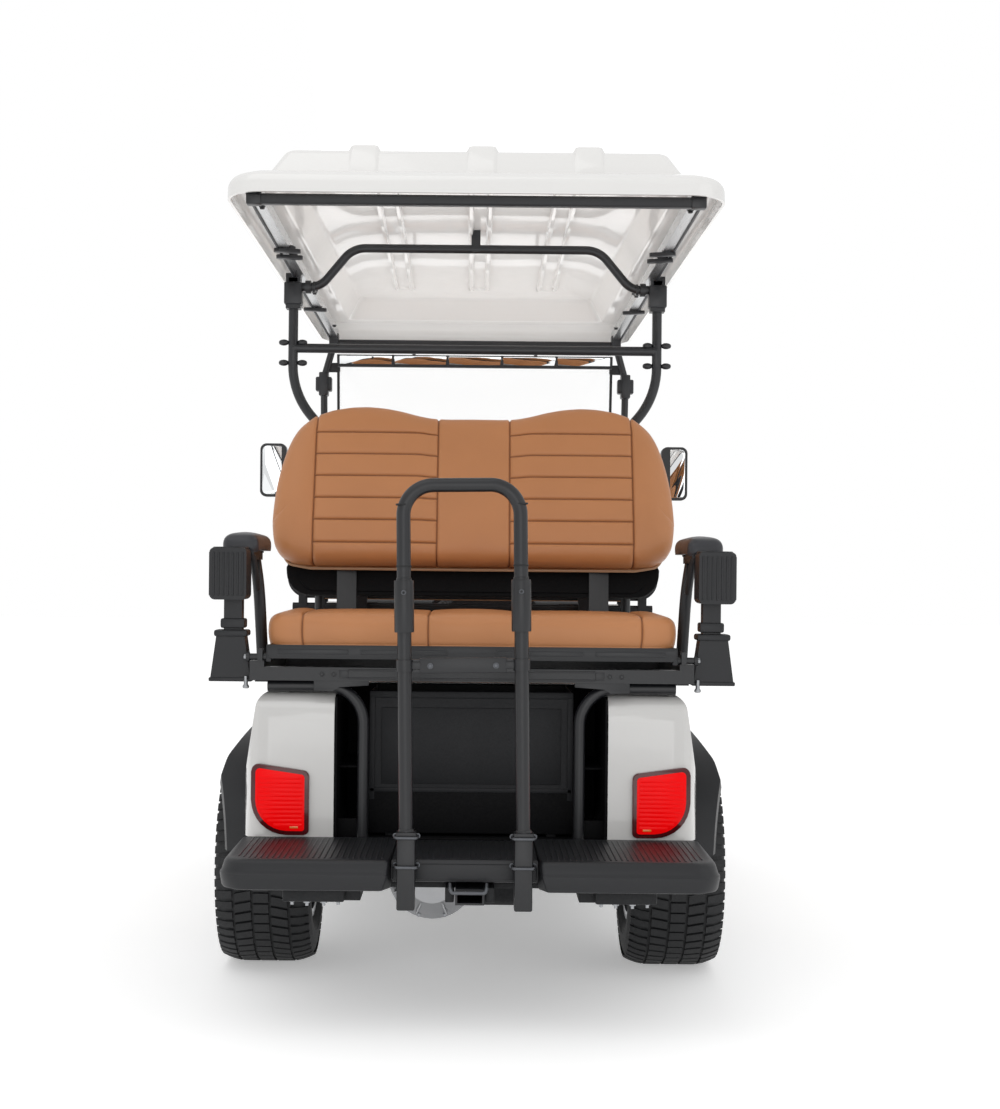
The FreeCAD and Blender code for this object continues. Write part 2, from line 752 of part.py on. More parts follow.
def armrest():
    """Right armrest: foot, post, cup holder, carrier and curved front column."""
    foot = front_plate([(541, 778, 0), (640, 778, 0), (624, 898, 12), (558, 898, 12)], (-1127, -1067))
    post = box((564, 608), (-1120, -1080), (890, 984))
    cup_block = front_plate([(550, 976, 14), (640, 976, 14), (640, 1102, 10), (550, 1102, 10)], (-1150, -1056))
    cup = rod((595, -1103, 990), (595, -1103, 1120), 38)
    carrier = box((560, 600), (-1060, -750), (1076, 1100))
    column = tube([(538, -900, 800, 0), (552, -880, 1000, 160), (575, -800, 1088, 0)], 15)
    base = box((540, 566), (-930, -870), (781, 829))
    return fused([foot, post, cup_block, carrier, column, base]).cut(cup)


def armrest_pads():
    outline = [(-1052, 1100, 0), (-1052, 1150, 22), (-745, 1150, 22), (-745, 1100, 0)]
    return both_sides(side_plate(outline, (530, 630)))


# ---- grab bar, controls, mirrors ----
def grab_bar():
    loop = tube(
        [
            (BAR_X, BAR_Y, 290, 0),
            (BAR_X, BAR_Y, BAR_TOP, 68),
            (-BAR_X, BAR_Y, BAR_TOP, 68),
            (-BAR_X, BAR_Y, 290, 0),
        ],
        16,
    )
    pieces = [loop, box((-BAR_X, BAR_X), (-1454, -1446), (824, 853))]
    pieces += [rod((x, BAR_Y, 914), (x, BAR_Y, 1031), 21) for x in (-BAR_X, BAR_X)]
    for piece in pieces:
        piece.rotate(V(0, BAR_Y, 400), V(0, 1, 0), -BAR_LEAN)
    for x in (-BAR_X, BAR_X):
        for z in (346, 376):
            pieces.append(box((x - 20, x + 20), (BAR_Y, STEP_NOTCH_Y), (z - 8, z + 8)))
    return moved(fused(pieces), x=BAR_MIDDLE_X)


def column_point(distance):
    """Point below the steering wheel's hub, along its column."""
    tilt = math.radians(COLUMN_TILT)
    x, y, z = WHEEL_HUB
    return (x, y + distance * math.sin(tilt), z - distance * math.cos(tilt))


def steering_column():
    shaft = rod(column_point(-8), column_point(60), 10)
    housing = rod(column_point(40), column_point(470), 26)
    lower = rod(column_point(470), column_point(770), 10)
    x, y, z = column_point(770)
    gear_box = box((x - 18, x + 40), (y - 50, y + 40), (RAIL_Z[1], RAIL_Z[1] + 60))
    bridge = box((x - 18, -170), (y - 40, y + 30), (RAIL_Z[1], RAIL_Z[1] + 12))
    return fused([shaft, housing, lower, gear_box, bridge])


def steering_wheel():
    """Three-spoke wheel, built level at the origin and leaned onto its column."""
    grip = Part.makeTorus(178, 14)
    hub = Part.makeCylinder(40, 40, V(0, 0, -30))
    pieces = [grip, hub]
    for degrees in (0, 180, 270):
        spoke = Part.makeBox(150, 26, 8, V(28, -13, -8))
        spoke.rotate(V(0, 0, 0), V(0, 0, 1), degrees)
        pieces.append(spoke)
    wheel = fused(pieces).cut(Part.makeCylinder(10 + RUNNING_FIT, 60, V(0, 0, -35)))
    return turned_x(moved(wheel, *WHEEL_HUB), COLUMN_TILT, WHEEL_HUB)


def pedals():
    pieces = []
    # columns: middle x, half width, height of the pad
    for x, half, height in ((-330, 42, 120), (-190, 28, 150)):
        pad = box((x - half, x + half), (630, 642), (455, 455 + height))
        arm = box((x - 8, x + 8), (640, 690), (500, 516))
        pieces.append(turned_x(pad, -18, (0, 636, 455)).fuse(arm))
    return Part.makeCompound(pieces)


def battery_pack():
    return box((-330, 330), (-200, 190), (RAIL_Z[1], 640))


def interior_mirror():
    glass = side_plate([(560, 1749, 8), (560, 1792, 8), (578, 1792, 8), (578, 1749, 8)], (-471, 471))
    arms = [rod((x, 570, 1784), (x, 662, 1840), 6) for x in (-210, 210)]
    return fused([glass] + arms)


def side_mirrors():
    head = front_plate([(658, 1306, 22), (658, 1493, 22), (750, 1493, 22), (750, 1306, 22)], (690, 724))
    arm = rod((POST_X, 739, 1345), (690, 712, 1360), 8)
    clamp = rod((POST_X, 742, 1325), (POST_X, 736, 1365), 20)
    return both_sides(fused([head, arm, clamp]))


# ---- the list of pieces ----
SINGLE_PIECES = [
    chassis,
    rear_step_bracket,
    shock_bridge,
    rear_axle,
    drive_motor,
    rear_suspension,
    front_axle,
    front_suspension,
    tie_rod,
    head_lights,
    front_cowl,
    rear_body,
    floor_pan,
    rocker_panels,
    storage_well,
    seat_support_hoops,
    dashboard,
    front_bumper,
    tail_lights,
    footrest,
    hitch_receiver,
    roof_canopy,
    roof_side_rails,
    roof_rear_crossbar,
    front_posts,
    windshield,
    rear_struts,
    roof_hoop_bar,
    front_seat_base,
    front_seat_hinges,
    front_seat_cushion,
    front_seat_back,
    front_seat_back_shell,
    rear_seat_back,
    rear_seat_frame,
    rear_seat_tray,
    rear_seat_cushion,
    armrest_pads,
    grab_bar,
    steering_column,
    steering_wheel,
    pedals,
    battery_pack,
    interior_mirror,
    side_mirrors,
]

# Where a piece passes through or beds on another, the first is cut to fit the second.
FITTED = [
    ("front_cowl", "front_posts"),
    ("dashboard", "front_posts"),
    ("dashboard", "steering_column"),
    ("floor_pan", "steering_column"),
    ("pedals", "floor_pan"),
    ("front_posts", "roof_side_rails"),
    ("rear_struts", "roof_side_rails"),
    ("roof_side_rails", "roof_rear_crossbar"),
    ("roof_hoop_bar", "rear_struts"),
    ("roof_hoop_bar", "roof_canopy"),
    ("roof_hoop_bar", "roof_side_rails"),
    ("interior_mirror", "front_posts"),
    ("side_mirrors", "front_posts"),
    ("rear_seat_frame", "rear_seat_back"),
    ("front_seat_back_shell", "front_seat_back"),
    ("armrest_left", "rear_seat_frame"),
    ("armrest_right", "rear_seat_frame"),
    ("armrest_left", "armrest_pads"),
    ("armrest_right", "armrest_pads"),
    ("rear_suspension", "chassis"),
    ("rear_suspension", "shock_bridge"),
    ("hitch_receiver", "rear_step_bracket"),
    ("rear_suspension", "rear_axle"),
    ("front_suspension", "chassis"),
    ("front_suspension", "front_axle"),
    ("drive_motor", "rear_axle"),
    ("front_cowl", "chassis"),
    ("front_cowl", "front_bumper"),
    ("dashboard", "windshield"),
    ("windshield", "front_posts"),
    ("rear_struts", "rear_body"),
    ("rear_body", "chassis"),
    ("rocker_panels", "rear_flares"),
]


def build():
    for maker in SINGLE_PIECES:
        parts[maker.__name__] = maker()
    wheels()
    parts["rear_flares"] = flares(REAR_AXLE_Y, REAR_ARCH, 10, pod_block())
    parts["front_flares"] = flares(FRONT_AXLE_Y, FRONT_ARCH, 0, cowl_block())
    parts["armrest_right"] = armrest()
    parts["armrest_left"] = mirrored(parts["armrest_right"])
    parts["knuckle_right"] = knuckle()
    parts["knuckle_left"] = mirrored(parts["knuckle_right"])
    for loose, fixed in FITTED:
        parts[loose] = parts[loose].cut(parts[fixed])


def save():
    os.makedirs("parts", exist_ok=True)
    for name, shape in parts.items():
        shape.exportStep("parts/" + name + ".step")
        print(name, len(shape.Solids), shape.isValid(), round(shape.Volume / 1000), "cm3")


build()
save()
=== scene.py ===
import bmesh
import bpy
import math
from mathutils import Matrix, Vector


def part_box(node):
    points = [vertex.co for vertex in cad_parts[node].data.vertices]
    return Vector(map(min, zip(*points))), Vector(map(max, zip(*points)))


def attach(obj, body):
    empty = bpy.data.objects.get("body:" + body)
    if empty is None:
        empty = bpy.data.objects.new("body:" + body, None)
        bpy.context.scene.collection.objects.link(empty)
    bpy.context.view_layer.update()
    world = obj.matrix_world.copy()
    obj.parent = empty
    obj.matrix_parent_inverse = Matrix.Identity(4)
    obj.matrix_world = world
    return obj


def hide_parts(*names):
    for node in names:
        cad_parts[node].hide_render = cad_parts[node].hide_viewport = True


bl_info = {
    "name": "Golf cart",
    "version": (1, 0, 0),
    "blender": (4, 5, 0),
    "location": "View3D > Sidebar > Cart",
    "description": "Builds the finished pieces of a four-seat golf cart on its CAD frame",
    "category": "Add Mesh",
}

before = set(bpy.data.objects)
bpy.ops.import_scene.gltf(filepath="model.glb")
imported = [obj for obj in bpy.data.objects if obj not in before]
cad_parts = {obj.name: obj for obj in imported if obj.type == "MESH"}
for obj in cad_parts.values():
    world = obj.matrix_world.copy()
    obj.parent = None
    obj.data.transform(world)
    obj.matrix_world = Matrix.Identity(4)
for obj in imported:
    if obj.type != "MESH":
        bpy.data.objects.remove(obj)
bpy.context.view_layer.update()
MM = 0.001
RIGHT, AHEAD, BACK, UP, DOWN = (1, 0, 0), (0, 1, 0), (0, -1, 0), (0, 0, 1), (0, 0, -1)


def linear(code):
    """An sRGB hex colour as linear red, green, blue and alpha."""
    values = [int(code[i:i + 2], 16) / 255 for i in (1, 3, 5)]
    return [v / 12.92 if v <= 0.04045 else ((v + 0.055) / 1.055) ** 2.4 for v in values] + [1.0]


# ---------------------------------------------------------------- settings
def colour_setting(name, description, code):
    return bpy.props.FloatVectorProperty(
        name=name, description=description, default=linear(code), size=4, min=0, max=1, subtype="COLOR"
    )


def length_setting(name, description, default):
    return bpy.props.FloatProperty(name=name, description=description, default=default, unit="LENGTH")


class CartColours(bpy.types.PropertyGroup):
    roof: colour_setting("Roof", "White of the moulded roof", "#e6e5e3")
    # The body is a greyer white than the roof: painted shade.
    body: colour_setting("Body", "White of the tail and cowl", "#cfcecc")
    leather: colour_setting("Leathercloth", "Seat covers", "#ba7d4f")
    plastic: colour_setting("Black plastic", "Step, arches, trims", "#1c1d20")
    steel: colour_setting("Powder coat", "Bars, struts and seat frames", "#1a1b1e")
    rubber: colour_setting("Rubber", "Tyres and grips", "#18191b")
    lens: colour_setting("Tail lens", "Tail light lenses", "#d8050a")


class CartSizes(bpy.types.PropertyGroup):
    tread_depth: length_setting("Tread depth", "Depth of the tyre grooves", 0.007)
    seam_depth: length_setting("Seam depth", "How far a sewn seam pulls the cover in", 0.008)
    grip_pitch: length_setting("Grip pitch", "Spacing of the ribs on the step", 0.013)


class CartStudio(bpy.types.PropertyGroup):
    lens: bpy.props.FloatProperty(name="Lens", description="Focal length", default=55.2, unit="CAMERA")
    distance: length_setting("Distance", "Camera to the cart's middle", 5.28)
    height: length_setting("Height", "Camera above the floor", 1.051)
    key: bpy.props.FloatProperty(name="Key light", description="Power of the large soft light", default=22.0)
    sky: bpy.props.FloatProperty(name="Sky", description="Strength of the light from all round", default=0.86)


# ---------------------------------------------------------------- materials
MATERIALS = {}
MOTTLE_SIZE = 140 * MM


def add(tree, kind, links=None, **settings):
    """Adds one node, with its settings, and its inputs set or linked by name or number."""
    made = tree.nodes.new(kind)
    for name, value in settings.items():
        setattr(made, name, value)
    for name, value in (links or {}).items():
        if isinstance(value, bpy.types.NodeSocket):
            tree.links.new(value, made.inputs[name])
        else:
            made.inputs[name].default_value = value
    return made


def surface(name, colour, roughness, grain_mm, depth_mm, mottle=0.06, metallic=0.0, stretch=(1, 1, 1), **extra):
    """A finish with fine grain in its bump and roughness, and a slow mottle in its colour."""
    colour = linear(colour) if isinstance(colour, str) else colour
    made = bpy.data.materials.new(name)
    made.use_nodes = True
    tree = made.node_tree
    shader = tree.nodes["Principled BSDF"]
    place = add(tree, "ShaderNodeTexCoord").outputs["Object"]
    stretched = add(tree, "ShaderNodeMapping", {"Vector": place, "Scale": stretch}).outputs[0]
    grain = add(tree, "ShaderNodeTexNoise", {"Vector": stretched, "Scale": 1 / (grain_mm * MM), "Detail": 3.0})
    slow = add(tree, "ShaderNodeTexNoise", {"Vector": place, "Scale": 1 / MOTTLE_SIZE, "Detail": 2.0})
    dark, light = ([min(v * (1 + shift), 1) for v in colour[:3]] + [1] for shift in (-mottle, mottle))
    tone = add(tree, "ShaderNodeMix", {0: slow.outputs[0], 6: dark, 7: light}, data_type="RGBA")
    gloss = add(tree, "ShaderNodeMapRange",
                {0: grain.outputs[0], 1: 0.3, 2: 0.7, 3: roughness * 0.86, 4: min(roughness * 1.14, 1)})
    bump = add(tree, "ShaderNodeBump", {"Height": grain.outputs[0], "Distance": depth_mm * MM, "Strength": 1.0})
    for made_by, socket in ((tone.outputs[2], "Base Color"), (gloss.outputs[0], "Roughness"),
                            (bump.outputs[0], "Normal")):
        tree.links.new(made_by, shader.inputs[socket])
    shader.inputs["Metallic"].default_value = metallic
    for socket, value in extra.items():
        shader.inputs[socket.replace("_", " ")].default_value = value
    MATERIALS[name] = made
    return tree, shader, bump, place


def make_materials(colours):
    # Thermoformed acrylic-capped ABS: very smooth, with a long soft ripple in what it reflects.
    surface("acrylic_capped_abs", colours.roof, 0.16, 60, 0.5, 0.012, Coat_Weight=0.7, Coat_Roughness=0.04)
    # Body panels of the same sheet, a greyer white than the roof as painted shade, under lacquer: a wet, even gloss.
    surface("shaded_white_lacquer", colours.body, 0.2, 60, 0.4, 0.014, Coat_Weight=1.0, Coat_Roughness=0.03)
    # Injection-moulded polypropylene with a spark-etched grain: a soft grey sheen.
    # The real 0.4 mm grain is too fine to show, and is drawn at 2.2 mm.
    surface("moulded_polypropylene", colours.plastic, 0.44, 2.2, 0.10, 0.08, Specular_IOR_Level=0.42)
    # The same plastic, polished in the mould, for lamp backs and trims: clearer reflections.
    surface("polished_polypropylene", colours.plastic, 0.24, 8, 0.06, 0.06)
    # Steel tube, powder coated: slight orange peel, drawn at 3 mm, and a satin gloss.
    surface("powder_coated_steel", colours.steel, 0.36, 3, 0.07, 0.07)
    # Dull black paint on chassis steel, with dust in it.
    surface("chassis_paint", "#1c1d1f", 0.62, 5, 0.12, 0.25, Specular_IOR_Level=0.35)
    # Extruded aluminium, clear anodised: faint drawing lines along the cart.
    surface("anodised_aluminium", "#d3d4d5", 0.3, 1.5, 0.03, 0.02, 1.0, stretch=(1, 0.02, 1))
    # Sand-cast aluminium: coarse skin with a dull metal shine.
    surface("sand_cast_aluminium", "#b7b8ba", 0.46, 3, 0.3, 0.14, 1.0)
    # Die-cast alloy wheel under silver lacquer: a soft metal gleam under a clear film.
    surface("lacquered_alloy", "#b4b6ba", 0.3, 2, 0.03, 0.04, 0.85, Coat_Weight=0.5)
    # Zinc-plated steel bolts: a cool, slightly cloudy metal.
    surface("zinc_plated_steel", "#a3a5a8", 0.38, 2, 0.05, 0.1, 1.0)
    # Bolts and clamps in black zinc: a dim grey metal.
    surface("black_zinc_steel", "#606266", 0.45, 2, 0.05, 0.1, 1.0)
    # Moulded rubber: dull and slightly dusty.
    surface("vulcanised_rubber", colours.rubber, 0.66, 3, 0.16, 0.22)
    # Skin of soft black foam on the armrests: fine pores and a broad sheen.
    surface("integral_skin_foam", "#2b2c31", 0.4, 2.5, 0.08, 0.08)
    # Polycarbonate tail lens, dyed red and glossy outside; a red emission makes it bright inside as a painted glow.
    surface("dyed_polycarbonate", colours.lens, 0.2, 30, 0.1, 0.05, Specular_IOR_Level=0.12,
            Emission_Strength=0.3, Emission_Color=linear("#ff0000"))
    # The thick rim of that lens, where less light comes through.
    surface("dyed_polycarbonate_rim", "#4c0309", 0.12, 30, 0.1, 0.05, Coat_Weight=0.15)
    # Amber strip in the lens: a small warm glint, painted in as a bright orange highlight.
    surface("amber_polycarbonate", "#e8742a", 0.12, 30, 0.1, 0.05, Coat_Weight=1.0)
    # Painted shade: the same plastic made much darker, for the unlit inside of the storage recess and the shell below
    # the rear backrest, with dust in its grain.
    surface("shade_dark_polypropylene", "#09090b", 0.7, 4, 0.12, 0.2, Specular_IOR_Level=0.15)
    # Pale welt cord sewn into the covers' edges: a thin light line.
    surface("welt_cord", "#a98566", 0.5, 1.6, 0.15, 0.08)
    # Silvered float glass: a plain mirror.
    surface("silvered_glass", "#eceeef", 0.02, 200, 0.02, 0.01, 1.0)
    # Cast acrylic sheet for the screen, and moulded for the headlamp covers: clear, with a gloss.
    for name, alpha in (("cast_acrylic", 0.1), ("lamp_cover_acrylic", 0.32)):
        surface(name, "#f4f7f8", 0.04, 200, 0.02, 0.01, Alpha=alpha)
    # Vacuum-metallised plastic of the headlamp bowls: a bright mirror with soft waves.
    surface("bright_chrome", "#dfe2e4", 0.12, 40, 0.05, 0.02, 1.0)
    # Grey thermoplastic of the dashboard, moulded with a fine matt grain.
    surface("grey_thermoplastic", "#17181b", 0.6, 3, 0.1, 0.06, Specular_IOR_Level=0.35)
    # Ribbed vinyl of the floor: matt, and scuffed lighter in places.
    surface("floor_vinyl", "#232427", 0.6, 3, 0.2, 0.12)
    # Dark glass of the gauges: sharp reflections.
    surface("gauge_glass", "#0c1014", 0.06, 60, 0.02, 0.02, Coat_Weight=1.0)
    leathercloth(colours.leather)


def leathercloth(colour):
    """PVC-coated cloth embossed with a hide grain: soft gloss, pebbles, and darker creases."""
    tree, shader, bump, place = surface("embossed_leathercloth", colour, 0.4, 45, 0.9, 0.07, Specular_IOR_Level=0.45)
    # Hide pebbles are about 1.3 mm across, drawn at 2.4 mm so that they show.
    pebbles = add(tree, "ShaderNodeTexVoronoi", {"Vector": place, "Scale": 1 / (2.4 * MM)},
                  feature="DISTANCE_TO_EDGE")
    height = add(tree, "ShaderNodeMapRange", {0: pebbles.outputs[0], 1: 0.0, 2: 0.12, 3: 0.0, 4: 1.0})
    fine = add(tree, "ShaderNodeBump", {"Height": height.outputs[0], "Distance": 0.12 * MM, "Strength": 0.7,
                                        "Normal": bump.outputs[0]})
    tree.links.new(fine.outputs[0], shader.inputs["Normal"])
    # Painted shade in the sewn creases: the cover is darker there.
    sewn = add(tree, "ShaderNodeAttribute", attribute_name="sewn")
    shade = add(tree, "ShaderNodeMapRange", {0: sewn.outputs["Fac"], 1: 0.1, 2: 1.0, 3: 0.0, 4: 0.8})
    tone = shader.inputs["Base Color"].links[0].from_socket
    darker = add(tree, "ShaderNodeMix", {0: shade.outputs[0], 6: tone, 7: linear("#552a10")}, data_type="RGBA")
    tree.links.new(darker.outputs[2], shader.inputs["Base Color"])


# ---------------------------------------------------------------- shapes, in millimetres
def rounded(corners, steps=6, closed=True):
    """Points along an outline or run whose corners are (x, y, radius) or (x, y, z, radius)."""
    spots = [Vector(corner[:-1]).to_3d() for corner in corners]
    line = []
    for i, corner in enumerate(corners):
        radius = corner[-1]
        if radius == 0 or (not closed and i in (0, len(corners) - 1)):
            line.append(spots[i])
            continue
        back = (spots[i - 1] - spots[i]).normalized()
        ahead = (spots[(i + 1) % len(spots)] - spots[i]).normalized()
        half = back.angle(ahead) / 2
        reach = radius / math.tan(half)
        middle = spots[i] + (back + ahead).normalized() * (radius / math.sin(half))
        start, end = spots[i] + back * reach - middle, spots[i] + ahead * reach - middle
        line += [middle + start.slerp(end, step / steps) * radius for step in range(steps + 1)]
    return line


def plate(x, y, near, far=None, steps=6):
    """Rectangular outline that starts at the second x. Its corners are near at the first y, and far at the second."""
    far = near if far is None else far
    return rounded([(x[1], y[0], near), (x[1], y[1], far), (x[0], y[1], far), (x[0], y[0], near)], steps)


def both_ways(half):
    """A left-right outline from its right half, middle outwards and round."""
    return half + [(-c[0],) + tuple(c[1:]) for c in reversed(half)]


def circle(count, shift=0.0):
    """Angles evenly round a circle, the first moved on by a share of a step."""
    return [2 * math.pi * (k + shift) / count for k in range(count)]


def about(centre, degrees, axis):
    """Turn by an angle about an axis through a centre."""
    there = Matrix.Translation(centre)
    return there @ Matrix.Rotation(math.radians(degrees), 4, axis) @ there.inverted()


def move_new(bm, before, matrix):
    """Moves every vertex made since the set of vertices before."""
    bmesh.ops.transform(bm, matrix=matrix, verts=[v for v in bm.verts if v not in before])


def quads(bm, grid, below=False):
    """Faces of a grid of vertices, or of one seen from below."""
    for a, b in zip(grid, grid[1:]):
        for k in range(len(a) - 1):
            corners = (a[k], b[k], b[k + 1], a[k + 1])
            bm.faces.new(corners[:1] + corners[:0:-1] if below else corners)


def band(bm, upper, lower):
    """Faces between two closed rows of vertices."""
    for k, vert in enumerate(upper):
        n = (k + 1) % len(upper)
        bm.faces.new((vert, lower[k], lower[n], upper[n]))


def border(grid):
    """The outermost entries of a grid, in order round it."""
    return [row[0] for row in grid[:-1]] + grid[-1][:-1] + [row[-1] for row in grid[:0:-1]] + grid[0][:0:-1]


def swept(bm, rings, loop=False, mat=0):
    """Skin over rings of points that have the same count; it closes its ends, or joins them in a loop."""
    rows = [[bm.verts.new(p) for p in ring] for ring in rings]
    made = []
    for lower, upper in list(zip(rows, rows[1:])) + ([(rows[-1], rows[0])] if loop else []):
        for i in range(len(lower)):
            j = (i + 1) % len(lower)
            made.append(bm.faces.new((lower[i], lower[j], upper[j], upper[i])))
    if not loop:
        made += [bm.faces.new(rows[0][::-1]), bm.faces.new(rows[-1])]
    for face in made:
        face.material_index = mat
    return made


def soften(bm, edges, edge, mat):
    """Rounds some edges, and returns the new faces."""
    made = bmesh.ops.bevel(bm, geom=list(edges), offset=edge, segments=2, profile=0.5, affect="EDGES",
                           clamp_overlap=True)["faces"]
    for face in made:
        face.material_index = mat
    return made


def slab(bm, outline, axis, low, high, edge=2.0, mat=0, turn=None):
    """Plate from an outline, across the axis from low to high, with rounded edges."""
    before = set(bm.verts)
    at = "xyz".index(axis)
    rings = [[list(p[:at]) + [level] + list(p[at:2]) for p in outline] for level in (low, high)]
    faces = swept(bm, rings, mat=mat)
    soften(bm, {e for f in faces[-2:] for e in f.edges}, edge, mat)
    if turn:
        move_new(bm, before, turn)


def block(bm, x, y, z, edge=2.0, mat=0, turn=None):
    """Rectangular moulding with rounded edges, between low and high values."""
    cube = bmesh.ops.create_cube(bm, size=1)["verts"]
    for v in cube:
        v.co = [limits[side > 0] for limits, side in zip((x, y, z), v.co)]
    for face in {f for v in cube for f in v.link_faces}:
        face.material_index = mat
    made = soften(bm, {e for v in cube for e in v.link_edges}, edge, mat)
    if turn:
        bmesh.ops.transform(bm, matrix=turn, verts=list({v for f in made for v in f.verts}))


def blocks(bm, *rows):
    """Mouldings from rows of low and high x, y and z, and the edges' radius."""
    for row in rows:
        block(bm, row[0:2], row[2:4], row[4:6], row[6])


def bar(bm, corners, radius, sides=16, steps=8, square=0.0):
    """Round bar, or one of rounded-square section, along a run of (x, y, z, bend radius)."""
    line = rounded(corners, steps, closed=False)
    first = line[1] - line[0]
    across = first.orthogonal().normalized()
    if square:
        across = Vector(RIGHT if abs(first.normalized().x) < 0.9 else UP)
    rings = []
    for i, point in enumerate(line):
        ahead = (line[min(i + 1, len(line) - 1)] - line[max(i - 1, 0)]).normalized()
        across = (across - ahead * across.dot(ahead)).normalized()
        other = ahead.cross(across)
        ring = []
        for angle in circle(sides, 0.5):
            c, s = math.cos(angle), math.sin(angle)
            grow = 1 / (abs(c) ** square + abs(s) ** square) ** (1 / square) if square else 1
            ring.append(point + (across * c + other * s) * radius * grow)
        rings.append(ring)
    swept(bm, rings)


def turned(bm, profile, axis, segments, *places):
    """Shapes turned about an axis from (height, radius) points, one at each place."""
    axis = Vector(axis).normalized()
    across = axis.orthogonal().normalized()
    other = axis.cross(across)
    for place in places:
        swept(bm, [[Vector(place) + axis * height + (across * math.cos(a) + other * math.sin(a)) * max(radius, 0.01)
                    for a in circle(segments)] for height, radius in profile])


def bolts(bm, size, axis, *places):
    """Hexagon heads on flanged washers."""
    lift = Vector(axis).normalized() * size * 0.25
    turned(bm, [(0, size * 1.25), (size * 0.22, size * 1.2), (size * 0.3, size * 0.9)], axis, 20, *places)
    turned(bm, [(0, size * 0.92), (size * 0.6, size * 0.92), (size * 0.78, size * 0.7)], axis, 6,
           *[Vector(place) + lift for place in places])


def mirror_x(bm):
    """Adds the left-hand twin of everything so far."""
    twin = bmesh.ops.duplicate(bm, geom=bm.verts[:] + bm.edges[:] + bm.faces[:])["geom"]
    for v in twin:
        if isinstance(v, bmesh.types.BMVert):
            v.co.x = -v.co.x
    bmesh.ops.reverse_faces(bm, faces=[f for f in twin if isinstance(f, bmesh.types.BMFace)])


def piece(name, bm, finishes, replaces=(), body="root", sharp=38.0):
    """Turns the mesh into a named object that rides on its body."""
    bmesh.ops.recalc_face_normals(bm, faces=bm.faces)
    bmesh.ops.scale(bm, vec=(MM, MM, MM), verts=bm.verts)
    mesh = bpy.data.meshes.new(name)
    bm.to_mesh(mesh)
    bm.free()
    mesh.polygons.foreach_set("use_smooth", [True] * len(mesh.polygons))
    mesh.set_sharp_from_angle(angle=math.radians(sharp))
    for finish in finishes.split():
        mesh.materials.append(MATERIALS[finish])
    made = bpy.data.objects.new(name, mesh)
    bpy.context.scene.collection.objects.link(made)
    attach(made, body)
    if replaces:
        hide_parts(*replaces)
    return made


def dress(nodes, finish, edge_mm):
    """Gives CAD pieces their finish, and rounds their edges."""
    for name in nodes.split():
        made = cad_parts[name]
        made.data.materials.clear()
        made.data.materials.append(MATERIALS[finish])
        made.modifiers.new("weld", "WELD").merge_threshold = 0.02 * MM
        if edge_mm:
            edge = made.modifiers.new("edges", "BEVEL")
            edge.width = edge_mm * MM
            edge.segments = 2
            edge.limit_method = "ANGLE"
            edge.angle_limit = math.radians(40)
            edge.miter_outer = "MITER_ARC"
        made.modifiers.new("normals", "WEIGHTED_NORMAL").keep_sharp = False


# ---------------------------------------------------------------- padded pieces
GRID_STEP = 15
CROWN_REACH = 200
PUFF_LIMIT = 10 * MM


def spread(low, high, seams):
    """Grid lines from low to high, close together at both ends and at each seam."""
    ends = (0, 1.5, 5, 11, 19, 30)
    wanted = {low + e for e in ends} | {high - e for e in ends}
    wanted |= {s + o for s in seams for o in (-9, -3, 0, 3, 9)}
    fixed = sorted(wanted)
    lines = [fixed[0]]
    for value in fixed[1:]:
        start = lines[-1]
        parts = max(1, round((value - start) / GRID_STEP))
        lines += [start + (value - start) * (i + 1) / parts for i in range(parts)]
    return lines


def span(outline, x):
    """Lowest and highest point of an outline on the line at x."""
    found = []
    for a, b in zip(outline, outline[1:] + outline[:1]):
        if (a.x - x) * (b.x - x) <= 0 and abs(a.x - b.x) > 1e-6:
            found.append(a.y + (b.y - a.y) * (x - a.x) / (b.x - a.x))
    return min(found), max(found)


def edge_distance(outline, point):
    """How far a point lies from an outline."""
    nearest = 1e9
    for a, b in zip(outline, outline[1:] + outline[:1]):
        run = b - a
        t = max(0, min(1, (point - a).dot(run) / max(run.length_squared, 1e-9)))
        nearest = min(nearest, (point - a - run * t).length)
    return nearest


def puff(made, pinned):
    """Cloth inflated from inside and held at its seams, each point moved by a limited way."""
    made.vertex_groups.new(name="held").add(pinned, 1.0, "REPLACE")
    cloth = made.modifiers.new("cloth", "CLOTH")
    cloth.settings.vertex_group_mass = "held"
    cloth.settings.use_pressure = True
    cloth.settings.uniform_pressure_force = 4
    cloth.settings.effector_weights.gravity = 0
    scene = bpy.context.scene
    for number in range(1, 21):
        scene.frame_set(number)
    now = made.evaluated_get(bpy.context.evaluated_depsgraph_get()).data
    moved = [v.co.copy() for v in now.vertices]
    made.modifiers.remove(cloth)
    made.vertex_groups.clear()
    for vertex, place in zip(made.data.vertices, moved):
        shift = place - vertex.co
        vertex.co += shift * min(1, PUFF_LIMIT / max(shift.length, 1e-9))
    scene.frame_set(1)


